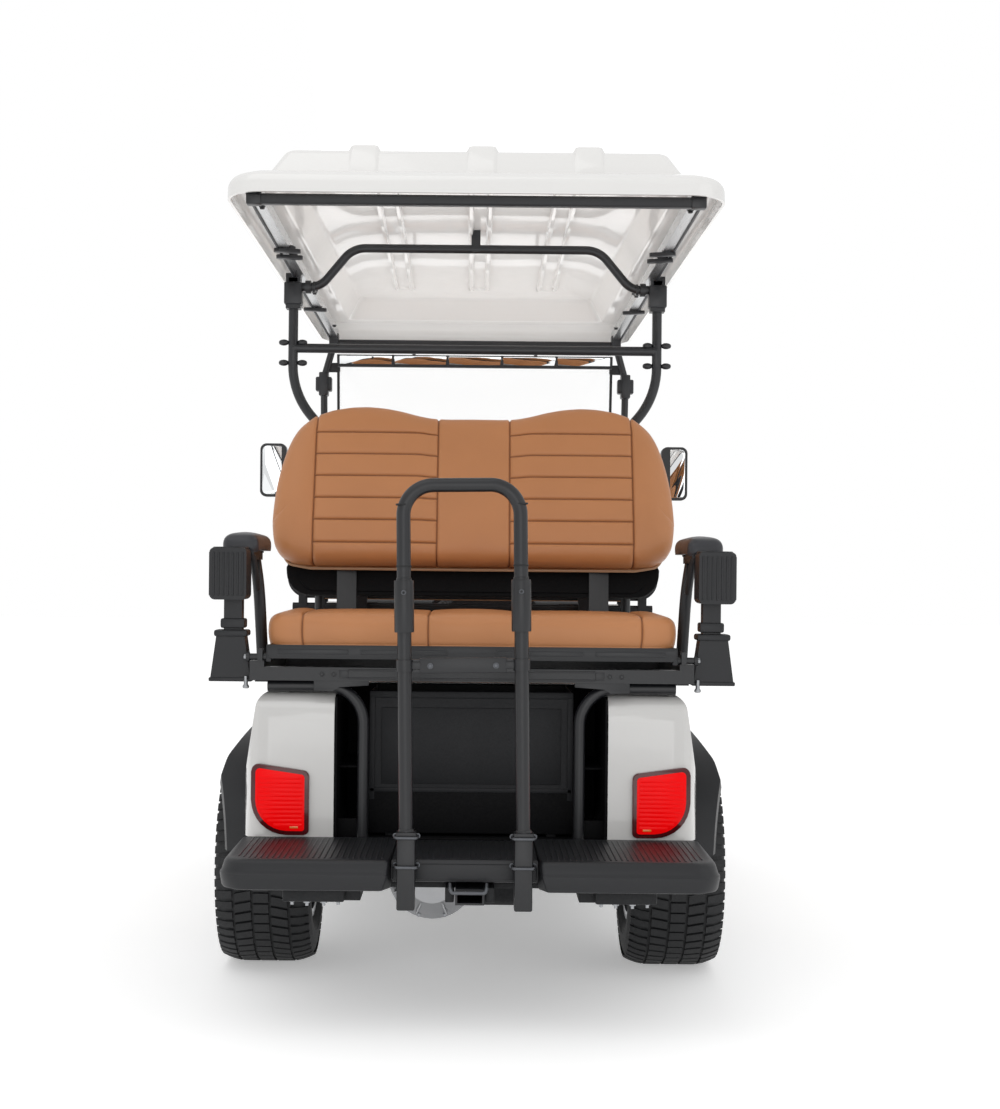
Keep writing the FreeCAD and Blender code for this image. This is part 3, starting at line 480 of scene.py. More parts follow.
def pad(name, node, body, outline, place, depth, rounding, crown, seams, channels, panel, knee,
        finish="embossed_leathercloth"):
    """Sewn cushion. Its outline lies across and along; place() puts (across, along, out) on the cart.
    Seams run along at each x; channels run across at each height, over the panel's range of x."""
    half = max(p.x for p in outline) - 0.2
    low, high = min(p.y for p in outline), max(p.y for p in outline)
    across, along = spread(-half, half, seams), spread(low, high, channels)
    share = (knee - low) / (span(outline, panel[1])[1] - low)
    flat = depth - rounding - crown

    def level(x, y):
        """Bends a grid line to the outline: level up to the knee, and following the top above it."""
        bottom, top = span(outline, x)
        bend = min(knee, bottom + (top - bottom) * share)
        if y <= knee:
            return bottom + (y - low) / (knee - low) * (bend - bottom)
        return bend + (y - knee) / (high - knee) * (top - bend)

    def on(value, lines):
        return any(abs(value - line) < 0.01 for line in lines)

    bm = bmesh.new()
    sewn = set()
    numbers = [[(i, j) for j in range(len(along))] for i in range(len(across))]
    loop = border(numbers)
    rim = set(loop)
    grid = []
    for i, x in enumerate(across):
        grid.append([])
        for j, y in enumerate(along):
            spot = Vector((x, level(x, y), 0))
            d = 0 if (i, j) in rim else edge_distance(outline, spot)
            dome = rounding * math.sqrt(1 - (1 - min(d / rounding, 1)) ** 2)
            dome += crown * (1 - (1 - min(d / CROWN_REACH, 1)) ** 2)
            grid[i].append(bm.verts.new(place(x, spot.y, flat + dome)))
            if on(x, seams) or (on(y, channels) and panel[0] <= abs(x) <= panel[1]):
                sewn.add(grid[i][j])
    quads(bm, grid)
    # The sides bulge a little halfway down, then draw in to the foot.
    upper = border(grid)
    for out, inset in ((flat * 0.7, -1.5), (flat * 0.3, 0.5), (0, 5)):
        lower = []
        for i, j in loop:
            spot = Vector((across[i], level(across[i], along[j])))
            spot += Vector((-spot.x * 0.3, (low + high) / 2 - spot.y)).normalized() * inset
            lower.append(bm.verts.new(place(spot.x, spot.y, out)))
            if on(across[i], seams):
                sewn.add(lower[-1])
        band(bm, upper, lower)
        upper = lower
    under = [[None] * len(along) for _ in across]
    for (i, j), vert in zip(loop, upper):
        under[i][j] = vert
    for row in numbers[1:-1]:
        for i, j in row[1:-1]:
            under[i][j] = bm.verts.new(place(across[i] * 0.99, level(across[i], along[j]), 0))
    quads(bm, under, below=True)
    bm.verts.index_update()
    sewn = sorted(v.index for v in sewn)
    pinned = sewn + [v.index for row in under for v in row]
    made = piece(name, bm, finish, [node], body, 80)
    puff(made, pinned)
    points = made.data.vertices
    normals = [points[n].normal.copy() for n in sewn]
    # Marks the seams that the leathercloth darkens as painted shade.
    shade = made.data.attributes.new("sewn", "FLOAT", "POINT")
    for number, normal in zip(sewn, normals):
        points[number].co -= normal * bpy.context.scene.cart_sizes.seam_depth
        shade.data[number].value = 1.0
    made.modifiers.new("finer", "SUBSURF").render_levels = 1


def leaning(y, z, degrees, facing):
    """Places (across, up the slab, out of it) for a backrest that pivots at y, z."""
    c, s = math.cos(math.radians(degrees)), math.sin(math.radians(degrees))
    return lambda x, h, out: Vector((x, y + out * facing * c - h * s, z + out * facing * s + h * c))


def lying(z):
    """Places (across, along, out of it) for a cushion that lies at a height."""
    return lambda x, y, out: Vector((x, y, z + out))


def backrest_outline(scale=1.0):
    half = [
        (0, 0), (440, 0), (486, 4), (522, 22), (540, 55), (545, 112), (542, 175), (534, 246), (522, 300),
        (507, 348), (482, 390), (441, 424), (393, 443), (339, 453), (293, 455), (247, 451), (201, 442),
        (155, 429), (117, 421), (78, 419), (0, 420),
    ]
    right = [Vector((x, h * scale, 0)) for x, h in half]
    return right + [Vector((-p.x, p.y, 0)) for p in reversed(right[1:-1])]


# ---------------------------------------------------------------- operators
class Build:
    """What every operator here shares."""

    bl_options = {"REGISTER", "UNDO"}

    def execute(self, context):
        self.build(context.scene)
        return {"FINISHED"}


def seen_by(tree, *rays):
    """1 for the named kinds of ray, and 0 for the rest."""
    path = add(tree, "ShaderNodeLightPath")
    value = path.outputs[rays[0]]
    for ray in rays[1:]:
        value = add(tree, "ShaderNodeMath", {0: value, 1: path.outputs[ray]}, operation="MAXIMUM").outputs[0]
    return value


class CART_OT_stage(Build, bpy.types.Operator):
    """Make the pale floor, the soft lights and the camera"""

    bl_idname = "cart.stage"
    bl_label = "Stage"

    def build(self, scene):
        studio = scene.cart_studio
        view = bpy.data.cameras.new("camera")
        view.lens = studio.lens
        view.shift_x = 0.0245
        view.shift_y = 0.015
        camera = bpy.data.objects.new("camera", view)
        camera.location = (0, -studio.distance, studio.height)
        camera.rotation_euler = (math.radians(90), math.radians(-0.55), 0)
        scene.collection.objects.link(camera)
        scene.camera = camera
        scene.view_settings.view_transform = "Standard"
        self.floor(scene)
        self.sky(scene, studio.sky)
        # columns: name, place, what it points at, size, share of the key's power
        for name, place, aim, size, share in (
            ("key", (-1.4, -2.6, 5.0), (0, 0, 0.9), 3.4, 1),
            ("fill", (3.4, -3.0, 2.6), (0, -0.3, 0.9), 2.4, 0.35),
            ("back", (0.5, 4.5, 4.2), (0, 0, 1.2), 3.0, 0.2),
            ("under_roof", (0, -0.05, 1.56), (0, -0.05, 2.0), 2.2, 0.55),
            ("front_fill", (0, -7.5, 1.2), (0, 0, 1.7), 4.0, 2.2),
        ):
            light = bpy.data.lights.new(name, "AREA")
            light.size = size
            light.energy = studio.key * share
            lamp = bpy.data.objects.new(name, light)
            lamp.location = place
            lamp.rotation_euler = (Vector(aim) - Vector(place)).to_track_quat("-Z", "Y").to_euler()
            # The lamp under the roof stands among the seats, so only its light shows.
            lamp.visible_camera = lamp.visible_glossy = name != "under_roof"
            scene.collection.objects.link(lamp)

    def floor(self, scene):
        """White floor that keeps the cart's shadow and looks white to the eye and in gloss."""
        made = bpy.data.materials.new("painted_floor")
        made.use_nodes = True
        tree = made.node_tree
        matte = tree.nodes["Principled BSDF"]
        for socket, value in (("Base Color", linear("#f2f2f2")), ("Roughness", 0.9), ("Specular IOR Level", 0.1)):
            matte.inputs[socket].default_value = value
        seen = seen_by(tree, "Is Camera Ray", "Is Glossy Ray", "Is Transmission Ray")
        lift = add(tree, "ShaderNodeMath", {0: seen, 1: 0.34}, operation="MULTIPLY")
        glow = add(tree, "ShaderNodeEmission", {"Strength": lift.outputs[0]})
        both = add(tree, "ShaderNodeAddShader", {0: matte.outputs[0], 1: glow.outputs[0]})
        tree.links.new(both.outputs[0], tree.nodes["Material Output"].inputs["Surface"])
        bm = bmesh.new()
        bmesh.ops.create_grid(bm, x_segments=2, y_segments=2, size=30)
        mesh = bpy.data.meshes.new("floor")
        bm.to_mesh(mesh)
        bm.free()
        mesh.materials.append(made)
        ground = bpy.data.objects.new("floor", mesh)
        scene.collection.objects.link(ground)

    def sky(self, scene, strength):
        """Even white light; the eye sees it as plain white, through glass too."""
        world = bpy.data.worlds.new("studio")
        world.use_nodes = True
        tree = world.node_tree
        seen = seen_by(tree, "Is Camera Ray", "Is Transmission Ray")
        level = add(tree, "ShaderNodeMapRange", {0: seen, 3: strength, 4: 1.0})
        tree.links.new(level.outputs[0], tree.nodes["Background"].inputs["Strength"])
        tree.nodes["Background"].inputs["Color"].default_value = (1, 1, 1, 1)
        scene.world = world


class CART_OT_finishes(Build, bpy.types.Operator):
    """Make the materials and give the carried-over CAD pieces theirs"""

    bl_idname = "cart.finishes"
    bl_label = "Finishes"

    def build(self, scene):
        make_materials(scene.cart_colours)
        # columns: finish, edge rounding in mm, CAD pieces
        for finish, edge, nodes in (
            ("shaded_white_lacquer", 7, "front_cowl rear_body"),
            ("acrylic_capped_abs", 7, "roof_canopy"),
            ("moulded_polypropylene", 3, "footrest rear_flares front_flares rocker_panels front_bumper armrest_left "
             "armrest_right"),
            ("moulded_polypropylene", 2, "front_seat_back_shell rear_seat_tray"),
            ("moulded_polypropylene", 6, "battery_pack"),
            ("powder_coated_steel", 1, "rear_struts roof_hoop_bar front_posts grab_bar rear_seat_frame "
             "seat_support_hoops hitch_receiver side_mirrors interior_mirror"),
            ("powder_coated_steel", 2, "roof_rear_crossbar"),
            ("chassis_paint", 2, "chassis rear_step_bracket shock_bridge rear_suspension front_axle "
             "front_suspension knuckle_left knuckle_right tie_rod front_seat_hinges steering_column"),
            ("chassis_paint", 3, "drive_motor"),
            ("sand_cast_aluminium", 3, "rear_axle"),
            ("anodised_aluminium", 1.5, "roof_side_rails"),
            ("lacquered_alloy", 2.5, "rim_front_left rim_front_right rim_rear_left rim_rear_right"),
            ("grey_thermoplastic", 5, "dashboard storage_well"),
            ("floor_vinyl", 2, "floor_pan front_seat_base pedals"),
            ("cast_acrylic", 0, "windshield"),
            ("lamp_cover_acrylic", 0, "head_lights"),
            ("vulcanised_rubber", 2, "steering_wheel"),
            ("vulcanised_rubber", 0, "tyre_front_left tyre_front_right tyre_rear_left tyre_rear_right"),
            ("integral_skin_foam", 8, "armrest_pads"),
            ("dyed_polycarbonate", 3, "tail_lights"),
            ("embossed_leathercloth", 8, "rear_seat_back rear_seat_cushion front_seat_back front_seat_cushion"),
        ):
            dress(nodes, finish, edge)


ROOF_REAR, ROOF_FRONT, ROOF_LIP = -1300, 750, 1936
ROOF_MIDDLE = (ROOF_REAR + ROOF_FRONT) / 2
CROWN_INSET = 205
ROOF_TILT = math.radians(-2.2)


def lip_frame(x, y, height):
    """From the roof's level frame (lip at height 0) to its tilted place."""
    c, s = math.cos(ROOF_TILT), math.sin(ROOF_TILT)
    ahead = y - ROOF_REAR
    return Vector((x, ROOF_REAR + ahead * c - height * s, ROOF_LIP + ahead * s + height * c))


def roof_ring(inset, height, share=1.0, dome=0.0):
    """One level of the roof, in from its widest outline, and drawn towards its middle by a share."""
    radius = max(95 - inset, 20)
    half = [(598 - inset, ROOF_REAR + inset, radius), (540 - inset, ROOF_FRONT - inset, radius)]
    return [lip_frame(p.x * share, (p.y - ROOF_MIDDLE) * share + ROOF_MIDDLE, height + dome)
            for p in rounded(both_ways(half), 14)]


class CART_OT_roof(Build, bpy.types.Operator):
    """Mould the roof: rolled rim, raised crown, outer ribs and the channels under them"""

    bl_idname = "cart.roof"
    bl_label = "Roof"

    def build(self, scene):
        # corners: inset, height, radius
        outer = rounded([(0, 0, 0), (1, 46, 30), (60, 66, 40), (96, 70, 14), (136, 138, 26), (CROWN_INSET, 147, 0)],
                        7, False)
        inner = rounded([(7, 0, 0), (8, 40, 26), (62, 58, 30), (100, 62, 12), (140, 128, 22), (CROWN_INSET, 138, 0)],
                        7, False)
        shares = (0.02, 0.25, 0.5, 0.75)
        rings = [roof_ring(CROWN_INSET, 138, share, 2.5 - 2.5 * share ** 2) for share in shares]
        rings += [roof_ring(p.x, p.y) for p in inner[::-1] + outer]
        rings += [roof_ring(CROWN_INSET, 147, share, 2.5 - 2.5 * share ** 2) for share in shares[::-1]]
        bm = bmesh.new()
        swept(bm, rings)
        piece("roof_shell", bm, "acrylic_capped_abs", ["roof_canopy"], sharp=50)
        bm = bmesh.new()
        # runs: place along the roof, level of the crown there, share of the section's height
        over = [(-1204, 70, 0.2), (-1192, 90, 0.6), (-1172, 124, 0.9), (-1156, 144, 1), (-1120, 149, 1),
                (-900, 149, 1), (-400, 149, 1), (100, 148, 1), (440, 146, 1), (500, 144, 0.7), (540, 140, 0)]
        under = [(-1120, 139, 0), (-1096, 139, 0.5), (-1060, 139, 1), (-500, 139, 1), (100, 138, 1), (400, 136, 1),
                 (450, 135, 0.5), (480, 134, 0)]
        rib = [(-39, -6), (-32, 6.75), (-24, 9), (24, 9), (32, 6.75), (39, -6)]
        channel = [(-35, 4), (-30, -16), (-22, -16), (-17, -1), (17, -1), (22, -16), (30, -16), (35, 4)]
        for x in (-272, 14, 272):
            for middle, section, run in ((x, rib, over), (x * 0.88, channel, under)):
                swept(bm, [[lip_frame(middle + a, y, level + b * rise) for a, b in section]
                           for y, level, rise in run])
        piece("roof_ribs", bm, "acrylic_capped_abs")
        bm = bmesh.new()
        bolts(bm, 6.5, DOWN, *[lip_frame(x, y, 1.4) for x, y in ((520, -1150), (502, -640), (488, -120), (472, 420))])
        mirror_x(bm)
        piece("roof_bolts", bm, "powder_coated_steel")
        bm = bmesh.new()
        # The rails draw together by 34 mm over their 1950 mm.
        lane = [lip_frame(541 - (y + 1250) * 34 / 1950, y, 1) for y in (-1240, -600, 0, 696)]
        bar(bm, [(*place, 0) for place in lane], 4, 8)
        mirror_x(bm)
        piece("roof_rail_gaskets", bm, "moulded_polypropylene")


class CART_OT_roof_frame(Build, bpy.types.Operator):
    """Rear cross tube, clamps, knobs and brackets that hold the roof"""

    bl_idname = "cart.roof_frame"
    bl_label = "Roof frame"

    def build(self, scene):
        bm = bmesh.new()
        blocks(bm, (507, 543, -1277, -1247, 1911, 1942, 3))
        mirror_x(bm)
        bar(bm, [(x, -1262, 1925, 0) for x in (-528, -200, 200, 528)], 12.5, 16, square=7)
        piece("roof_cross_tube", bm, "powder_coated_steel", ["roof_rear_crossbar"])
        bm = bmesh.new()
        knob = [(-14, 3), (-12, 6), (-6, 8.5), (0, 9.2), (6, 8.5), (12, 6), (14, 3)]
        turned(bm, knob, RIGHT, 20, *[(x, -324, z) for x in (503, 557) for z in (1653, 1712)])
        blocks(bm, (504, 556, -346, -302, 1822, 1886, 4), (514, 546, -341, -307, 1884, 1902, 3),
               (500, 556, 662, 704, 1676, 1726, 5), (512, 544, 656, 710, 1660, 1742, 4))
        bolts(bm, 5, BACK, (530, -341, 1850))
        bolts(bm, 5, AHEAD, (530, -307, 1850))
        turned(bm, [(-8, 17), (-8, 19), (8, 19), (8, 17)], RIGHT, 20, (487, -325.5, 1874))
        turned(bm, [(-3, 17), (3, 17)], RIGHT, 20, (470, -326, 1874))
        mirror_x(bm)
        # Cast lobes bolted under the side rails, all turned the same way about the cart's middle.
        lobe = rounded([(-44, -8, 12), (-36, 14, 10), (30, 12, 12), (38, -10, 10)], 4)
        for side in (-1, 1):
            for y, drop in ((-700, 4), (-640, 8), (-190, 4), (120, 5)):
                before = set(bm.verts)
                slab(bm, lobe, "z", -5, 5, 2)
                turned(bm, [(5, 12), (11, 12), (15, 7)], UP, 14, (8, 2, 0))
                place = Matrix.Translation(lip_frame(side * 505, y, -drop))
                move_new(bm, before, place @ Matrix.Rotation(side * -0.3, 4, "Z"))
        piece("roof_clamps", bm, "powder_coated_steel")


class CART_OT_mirrors(Build, bpy.types.Operator):
    """Mirror glasses: the five-panel strip under the roof and one at each side"""

    bl_idname = "cart.mirrors"
    bl_label = "Mirrors"

    def build(self, scene):
        left, right = (corner.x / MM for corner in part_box("interior_mirror"))
        left, right = left + 4, right - 4
        wide = (right - left) / 5
        glass, dividers = bmesh.new(), bmesh.new()
        for k in range(5):
            a = left + k * wide
            slab(glass, plate((a + wide - 3, a + 3), (1755, 1787), 3, steps=3), "y", 556, 558, 0.6,
                 turn=about((0, 557, 1771), 19, "X"))
            if k:
                blocks(dividers, (a - 5, a + 5, 554, 562, 1750, 1791, 1.5))
        blocks(dividers, (left - 3, right + 3, 555, 561, 1749, 1754, 1))
        piece("mirror_strip_glass", glass, "silvered_glass")
        piece("mirror_strip_dividers", dividers, "moulded_polypropylene")
        bm = bmesh.new()
        face = plate((741, 667), (1315, 1484), 15)
        for side, degrees in ((-1, 6), (1, -12)):
            slab(bm, [(side * p.x, p.y) for p in face], "y", 687, 689, 0.5,
                 turn=about((side * 704, 689, 1400), degrees, "Z"))
        piece("side_mirror_glasses", bm, "silvered_glass")
        bm = bmesh.new()
        slab(bm, plate((748, 660), (1308, 1491), 20), "y", 691, 706, 4)
        slab(bm, face, "y", 704, 727, 9)
        mirror_x(bm)
        piece("side_mirror_shells", bm, "polished_polypropylene")


class CART_OT_step(Build, bpy.types.Operator):
    """Rear step: two moulded blocks with ribbed tops, and the recessed middle"""

    bl_idname = "cart.step"
    bl_label = "Step"

    def build(self, scene):
        bm = bmesh.new()
        sides = ((-1, 176), (1, 152))
        # columns: height, how far in from the widest outline
        levels = ((333, 12), (335, 7), (340, 4), (362, 0.5), (369, 0.3), (372, 3), (378, 5), (392, 9), (398, 13),
                  (401, 18), (402, 26))
        for side, inner in sides:
            rings = []
            for z, inset in levels:
                slant = (z - 362) * 0.25
                ring = rounded([
                    (inner + 2, -1151, 0), (566 - inset, -1151, 0), (566 - inset, -1489 + inset, 58),
                    (inner + 12 - slant + inset * 0.4, -1489 + inset, 9), (inner + 2 + inset * 0.2, -1434, 4),
                ], 10)
                rings.append([(side * p.x, p.y, z) for p in ring])
            swept(bm, rings)
        slab(bm, ((-178, -1432), (154, -1432), (154, -1151), (-178, -1151)), "z", 346, 398, 5)
        blocks(bm, (-176, 152, -1436, -1430, 352, 388, 3))
        piece("step_mouldings", bm, "moulded_polypropylene", ["footrest"], sharp=30)
        bm = bmesh.new()
        pitch = scene.cart_sizes.grip_pitch / MM
        for side, inner in sides:
            for k in range(int((510 - inner) / pitch) + 1):
                x = inner + 22 + k * pitch
                back = -1455 + max(0, x - 500) * 0.9
                lane = sorted((side * (x - 2.2), side * (x + 2.2)))
                blocks(bm, (*lane, back, -1168, 400.5, 403.6, 1.2))
        blocks(bm, *[(x - 2, x + 2, -1420, -1160, 397, 399.4, 1) for x in range(-168, 141, 14)])
        piece("step_grip_ribs", bm, "moulded_polypropylene")


BACKREST = leaning(-645, 1056, -18.5, -1)
FRONT_BACKREST = leaning(-228, 972, 9, 1)
FRONT_SCALE = 0.955


class CART_OT_seats(Build, bpy.types.Operator):
    """Sew the four seat covers"""

    bl_idname = "cart.seats"
    bl_label = "Seats"

    def build(self, scene):
        channels = [46, 110, 173, 237, 301, 366]
        back_seams, seat_seams = [-432, -98, 98, 432], [-413, -107, 107, 413]
        pad("rear_backrest_cover", "rear_seat_back", "root", backrest_outline(), BACKREST, 92, 34, 10,
            back_seams, channels, (98, 432), 366)
        pad("front_backrest_cover", "front_seat_back", "root", backrest_outline(FRONT_SCALE), FRONT_BACKREST,
            82, 32, 10, back_seams, [c * FRONT_SCALE for c in channels], (98, 432), 366 * FRONT_SCALE)
        pad("rear_seat_cover", "rear_seat_cushion", "rear_flip_seat", plate((-500, 500), (-1150, -700), 50),
            lying(868), 80, 24, 6, seat_seams, [-1050, -960, -870, -780], (107, 413), -780)
        pad("front_seat_cover", "front_seat_cushion", "front_seat_lid", plate((-508, 508), (-232, 268), 60, 90),
            lying(714), 102, 30, 8, seat_seams, [-140, -50, 40, 130], (107, 413), 130)


class CART_OT_tail(Build, bpy.types.Operator):
    """Tail light lenses with a painted glow, the liner of the storage recess, black as painted shade, and the trims on
    the tail
    """

    bl_idname = "cart.tail"
    bl_label = "Tail"

    def build(self, scene):
        bm = bmesh.new()
        slab(bm, rounded([(392, 407, 12), (392, 562, 16), (533, 582, 18), (533, 407, 85)], 8), "y",
             -1158.5, -1150, 3.5)
        # The lens's middle glows red: a painted glow.
        slab(bm, rounded([(403, 417, 6), (403, 553, 9), (522, 570, 10), (522, 418, 76)], 8), "y",
             -1161, -1157, 1.2, 1)
        glow = [p.yx for p in rounded([(409, 423, 5), (409, 547, 6), (516, 563, 7), (516, 424, 70)], 8)]
        for k in range(12):
            z = 431 + k * 10.5
            block(bm, span(glow, z), (-1161.5, -1160), (z - 4.6, z + 4.6), 0.5, 1)
        left, right = span(glow, 426)
        # A bright amber strip low in the lens: a painted glint.
        block(bm, (left + 8, right - 26), (-1162, -1160), (423.5, 429), 0.8, 2)
        mirror_x(bm)
        piece("tail_light_lenses", bm, "dyed_polycarbonate_rim dyed_polycarbonate amber_polycarbonate",
              ["tail_lights"], sharp=30)
        bm = bmesh.new()
        # Side walls and ledges of the recess, dark as painted shade.
        blocks(bm, (327, 332.5, -1142, -762, 398, 741, 1), (256, 330, -1096, -1090, 384, 440, 2),
               (262, 330, -1060, -780, 560, 566, 2))
        mirror_x(bm)
        # The back wall, the floor and a low plate over the foot of the storage panel, all in painted shade.
        blocks(bm, (-330, 330, -768, -762, 398, 752, 1), (-330, 330, -1098, -766, 388, 394, 1),
               (-256, 256, -1074, -1070.5, 402, 504, 1))
        piece("storage_recess_liner", bm, "shade_dark_polypropylene")
        bm = bmesh.new()
        blocks(bm, (238, 252, -1075, -1070, 484, 740, 2))
        mirror_x(bm)
        blocks(bm, (-222, 222, -1073, -1070, 524, 712, 2), (-252, 252, -1076, -1070, 736, 753, 3),
               (-250, 250, -1075, -1070, 503, 514, 2))
        piece("storage_panel_ribs", bm, "grey_thermoplastic")


TYRE_RADIUS = 280
HALF_TRACK = 532.5
TREAD_PITCHES = 58


class CART_OT_wheels(Build, bpy.types.Operator):
    """Mould the four tyres with their tread, and fit caps, nuts and valves to the rims"""

    bl_idname = "cart.wheels"
    bl_label = "Wheels"

    def build(self, scene):
        groove = TYRE_RADIUS - scene.cart_sizes.tread_depth / MM
        for end, y in (("front", 990), ("rear", -680)):
            for hand, side, degrees in (("left", -1, 180), ("right", 1, 0)):
                wheel = f"{end}_{hand}"
                place = Matrix.Translation((side * HALF_TRACK, y, TYRE_RADIUS)) @ about((0, 0, 0), degrees, "Z")
                bm = self.tyre(groove)
                move_new(bm, (), place)
                piece("tyre_tread_" + wheel, bm, "vulcanised_rubber", ["tyre_" + wheel],
                      "wheel_" + wheel, 32)
                bm = self.fittings()
                move_new(bm, (), place)
                piece("wheel_fittings_" + wheel, bm, "zinc_plated_steel", body="wheel_" + wheel)

    def tyre(self, groove):
        """Carcass from bead to bead, then rows of tread blocks wrapped round it."""
        bm = bmesh.new()
        # points: across the tyre, radius
        half = [(90, 156), (97, 160), (104, 168), (112, 178), (118, 190), (121, 196), (119.5, 199), (121.8, 202),
                (122.2, 212), (121.6, 226), (121.8, 228), (120.8, 231), (119, 244), (115, 256), (108, 265), (96, 270.5),
                (74, groove - 0.6), (40, groove)]
        section = half + [(0, groove)] + [(-x, r) for x, r in reversed(half)]
        section += [(-80, 160), (-100, 200), (-96, 245), (-60, 262), (60, 262), (96, 245), (100, 200), (80, 160)]
        swept(bm, [[(x, r * math.sin(a), r * math.cos(a)) for x, r in section] for a in circle(120)], loop=True)
        # columns: side, x from, x to, then slant, start and end along, in pitches
        rows = ((1, -19, 19, 0.0, 0.32, 1.15), (1, 26, 67, 0.28, 0.08, 0.84), (1, 74, 119, 0.16, 0.12, 0.78),
                (-1, 26, 67, 0.28, 0.58, 1.34), (-1, 74, 119, 0.16, 0.62, 1.28))
        pitch = 2 * math.pi / TREAD_PITCHES
        for first in circle(TREAD_PITCHES):
            for side, low, high, slant, start, end in rows:
                self.lug(bm, side, low, high, slant * pitch, first + start * pitch, first + end * pitch, groove)
        return bm

    def lug(self, bm, side, low, high, slant, start, end, groove):
        """One tread block: its top follows the crown, and its walls lean out a little."""
        grids = []
        for grow in (0.0, 0.035 if low > 0 else 0.02):
            grid = []
            for t in (0, 0.5, 1) if high < 100 else (0, 0.35, 0.7, 1):
                x = low + (high - low) * t
                drop = max(0, (abs(x) - 62) / 60)
                radius = TYRE_RADIUS - 15 * drop ** 2 - 3 * drop
                if grow:
                    radius = min(groove, radius - 3) - 3
                out = side * (x + grow * 36 * (t - 0.5))
                turns = [start + (end - start) * (s + grow * (s - 0.5) * 2) + slant * t for s in (0, 0.5, 1)]
                grid.append([bm.verts.new((out, radius * math.sin(a), radius * math.cos(a))) for a in turns])
            grids.append(grid)
        quads(bm, grids[0])
        band(bm, *(border(grid) for grid in grids))

    def fittings(self):
        """Centre cap, five nuts, valve and the weights' ring on one rim."""
        bm = bmesh.new()
        turned(bm, [(70, 30), (72, 33), (76, 33), (82, 30), (86, 22), (87, 8)], RIGHT, 36, (0, 0, 0))
        turned(bm, [(56, 50), (60, 50), (62, 47), (62, 40)], RIGHT, 36, (0, 0, 0))
        nuts = [(0, 62 * math.cos(a), 62 * math.sin(a)) for a in circle(5, 0.25)]
        turned(bm, [(56, 11.5), (60, 11.5), (60, 10), (74, 10), (77, 7)], RIGHT, 6, *nuts)
        turned(bm, [(76, 6), (80, 6), (81, 4)], RIGHT, 12, *nuts)
        turned(bm, [(54, 4), (70, 4), (71, 5.5), (84, 5.5), (86, 4)], RIGHT, 14, (0, 0, 128))
        for k in range(40):
            block(bm, (105, 112.5), (-2.5, 2.5), (148, 152), 0.8, turn=about((0, 0, 0), k * 9, "X"))
        return bm


class CART_OT_armrests(Build, bpy.types.Operator):
    """Foam armrest pads, and the flutes, collars and straps of the armrests"""

    bl_idname = "cart.armrests"
    bl_label = "Armrests"

    def build(self, scene):
        for hand, side in (("left", -1), ("right", 1)):
            def place(x, y, out, side=side):
                droop = 7 * max(0, (-990 - y) / 60) ** 2
                return Vector((side * 580 + x, y, 1099 + out - droop))

            pad("armrest_pad_" + hand, "armrest_pads", "root", plate((-45, 45), (-1050, -747), 22, 26, 5), place,
                46, 20, 5, [], [], (0, 20), -760, "integral_skin_foam")
        bm = bmesh.new()
        blocks(bm, *[(560 + k * 11.6 - 2.6, 560 + k * 11.6 + 2.6, -1152.4, -1146, 986, 1092, 1.6) for k in range(7)],
               *[(638, 642.4, y - 2.6, y + 2.6, 986, 1092, 1.6) for y in range(-1140, -1062, 12)],
               (556, 616, -1126, -1074, 906, 930, 5), (549, 631, -1132, -1062, 886, 902, 5),
               (537, 643, -1130, -1064, 776, 786, 3), (556, 604, -1042, -1026, 1094, 1101, 2),
               (556, 604, -774, -758, 1094, 1101, 2))
        turned(bm, [(0, 44), (4, 44), (6, 42), (6, 39)], UP, 36, (595, -1103, 1099))
        strap = [(552, -1060, 1092, 0), (546, -1046, 1072, 14), (543, -1030, 1040, 30), (541, -1010, 1000, 0)]
        bar(bm, strap, 9, 12, 6)
        mirror_x(bm)
        piece("armrest_trims", bm, "moulded_polypropylene", sharp=30)
        bm = bmesh.new()
        bolts(bm, 5, (1, 0, 0.1), (632, -1110, 792), (632, -1084, 792))
        bolts(bm, 5, DOWN, (580, -1034, 1077), (580, -900, 1077), (580, -766, 1077))
        bolts(bm, 7, RIGHT, (548, -1143, 838))
        turned(bm, [(0, 5), (20, 5), (24, 8), (28, 8), (30, 6)], DOWN, 14, (551, -1132, 790))
        mirror_x(bm)
        piece("armrest_bolts", bm, "zinc_plated_steel")


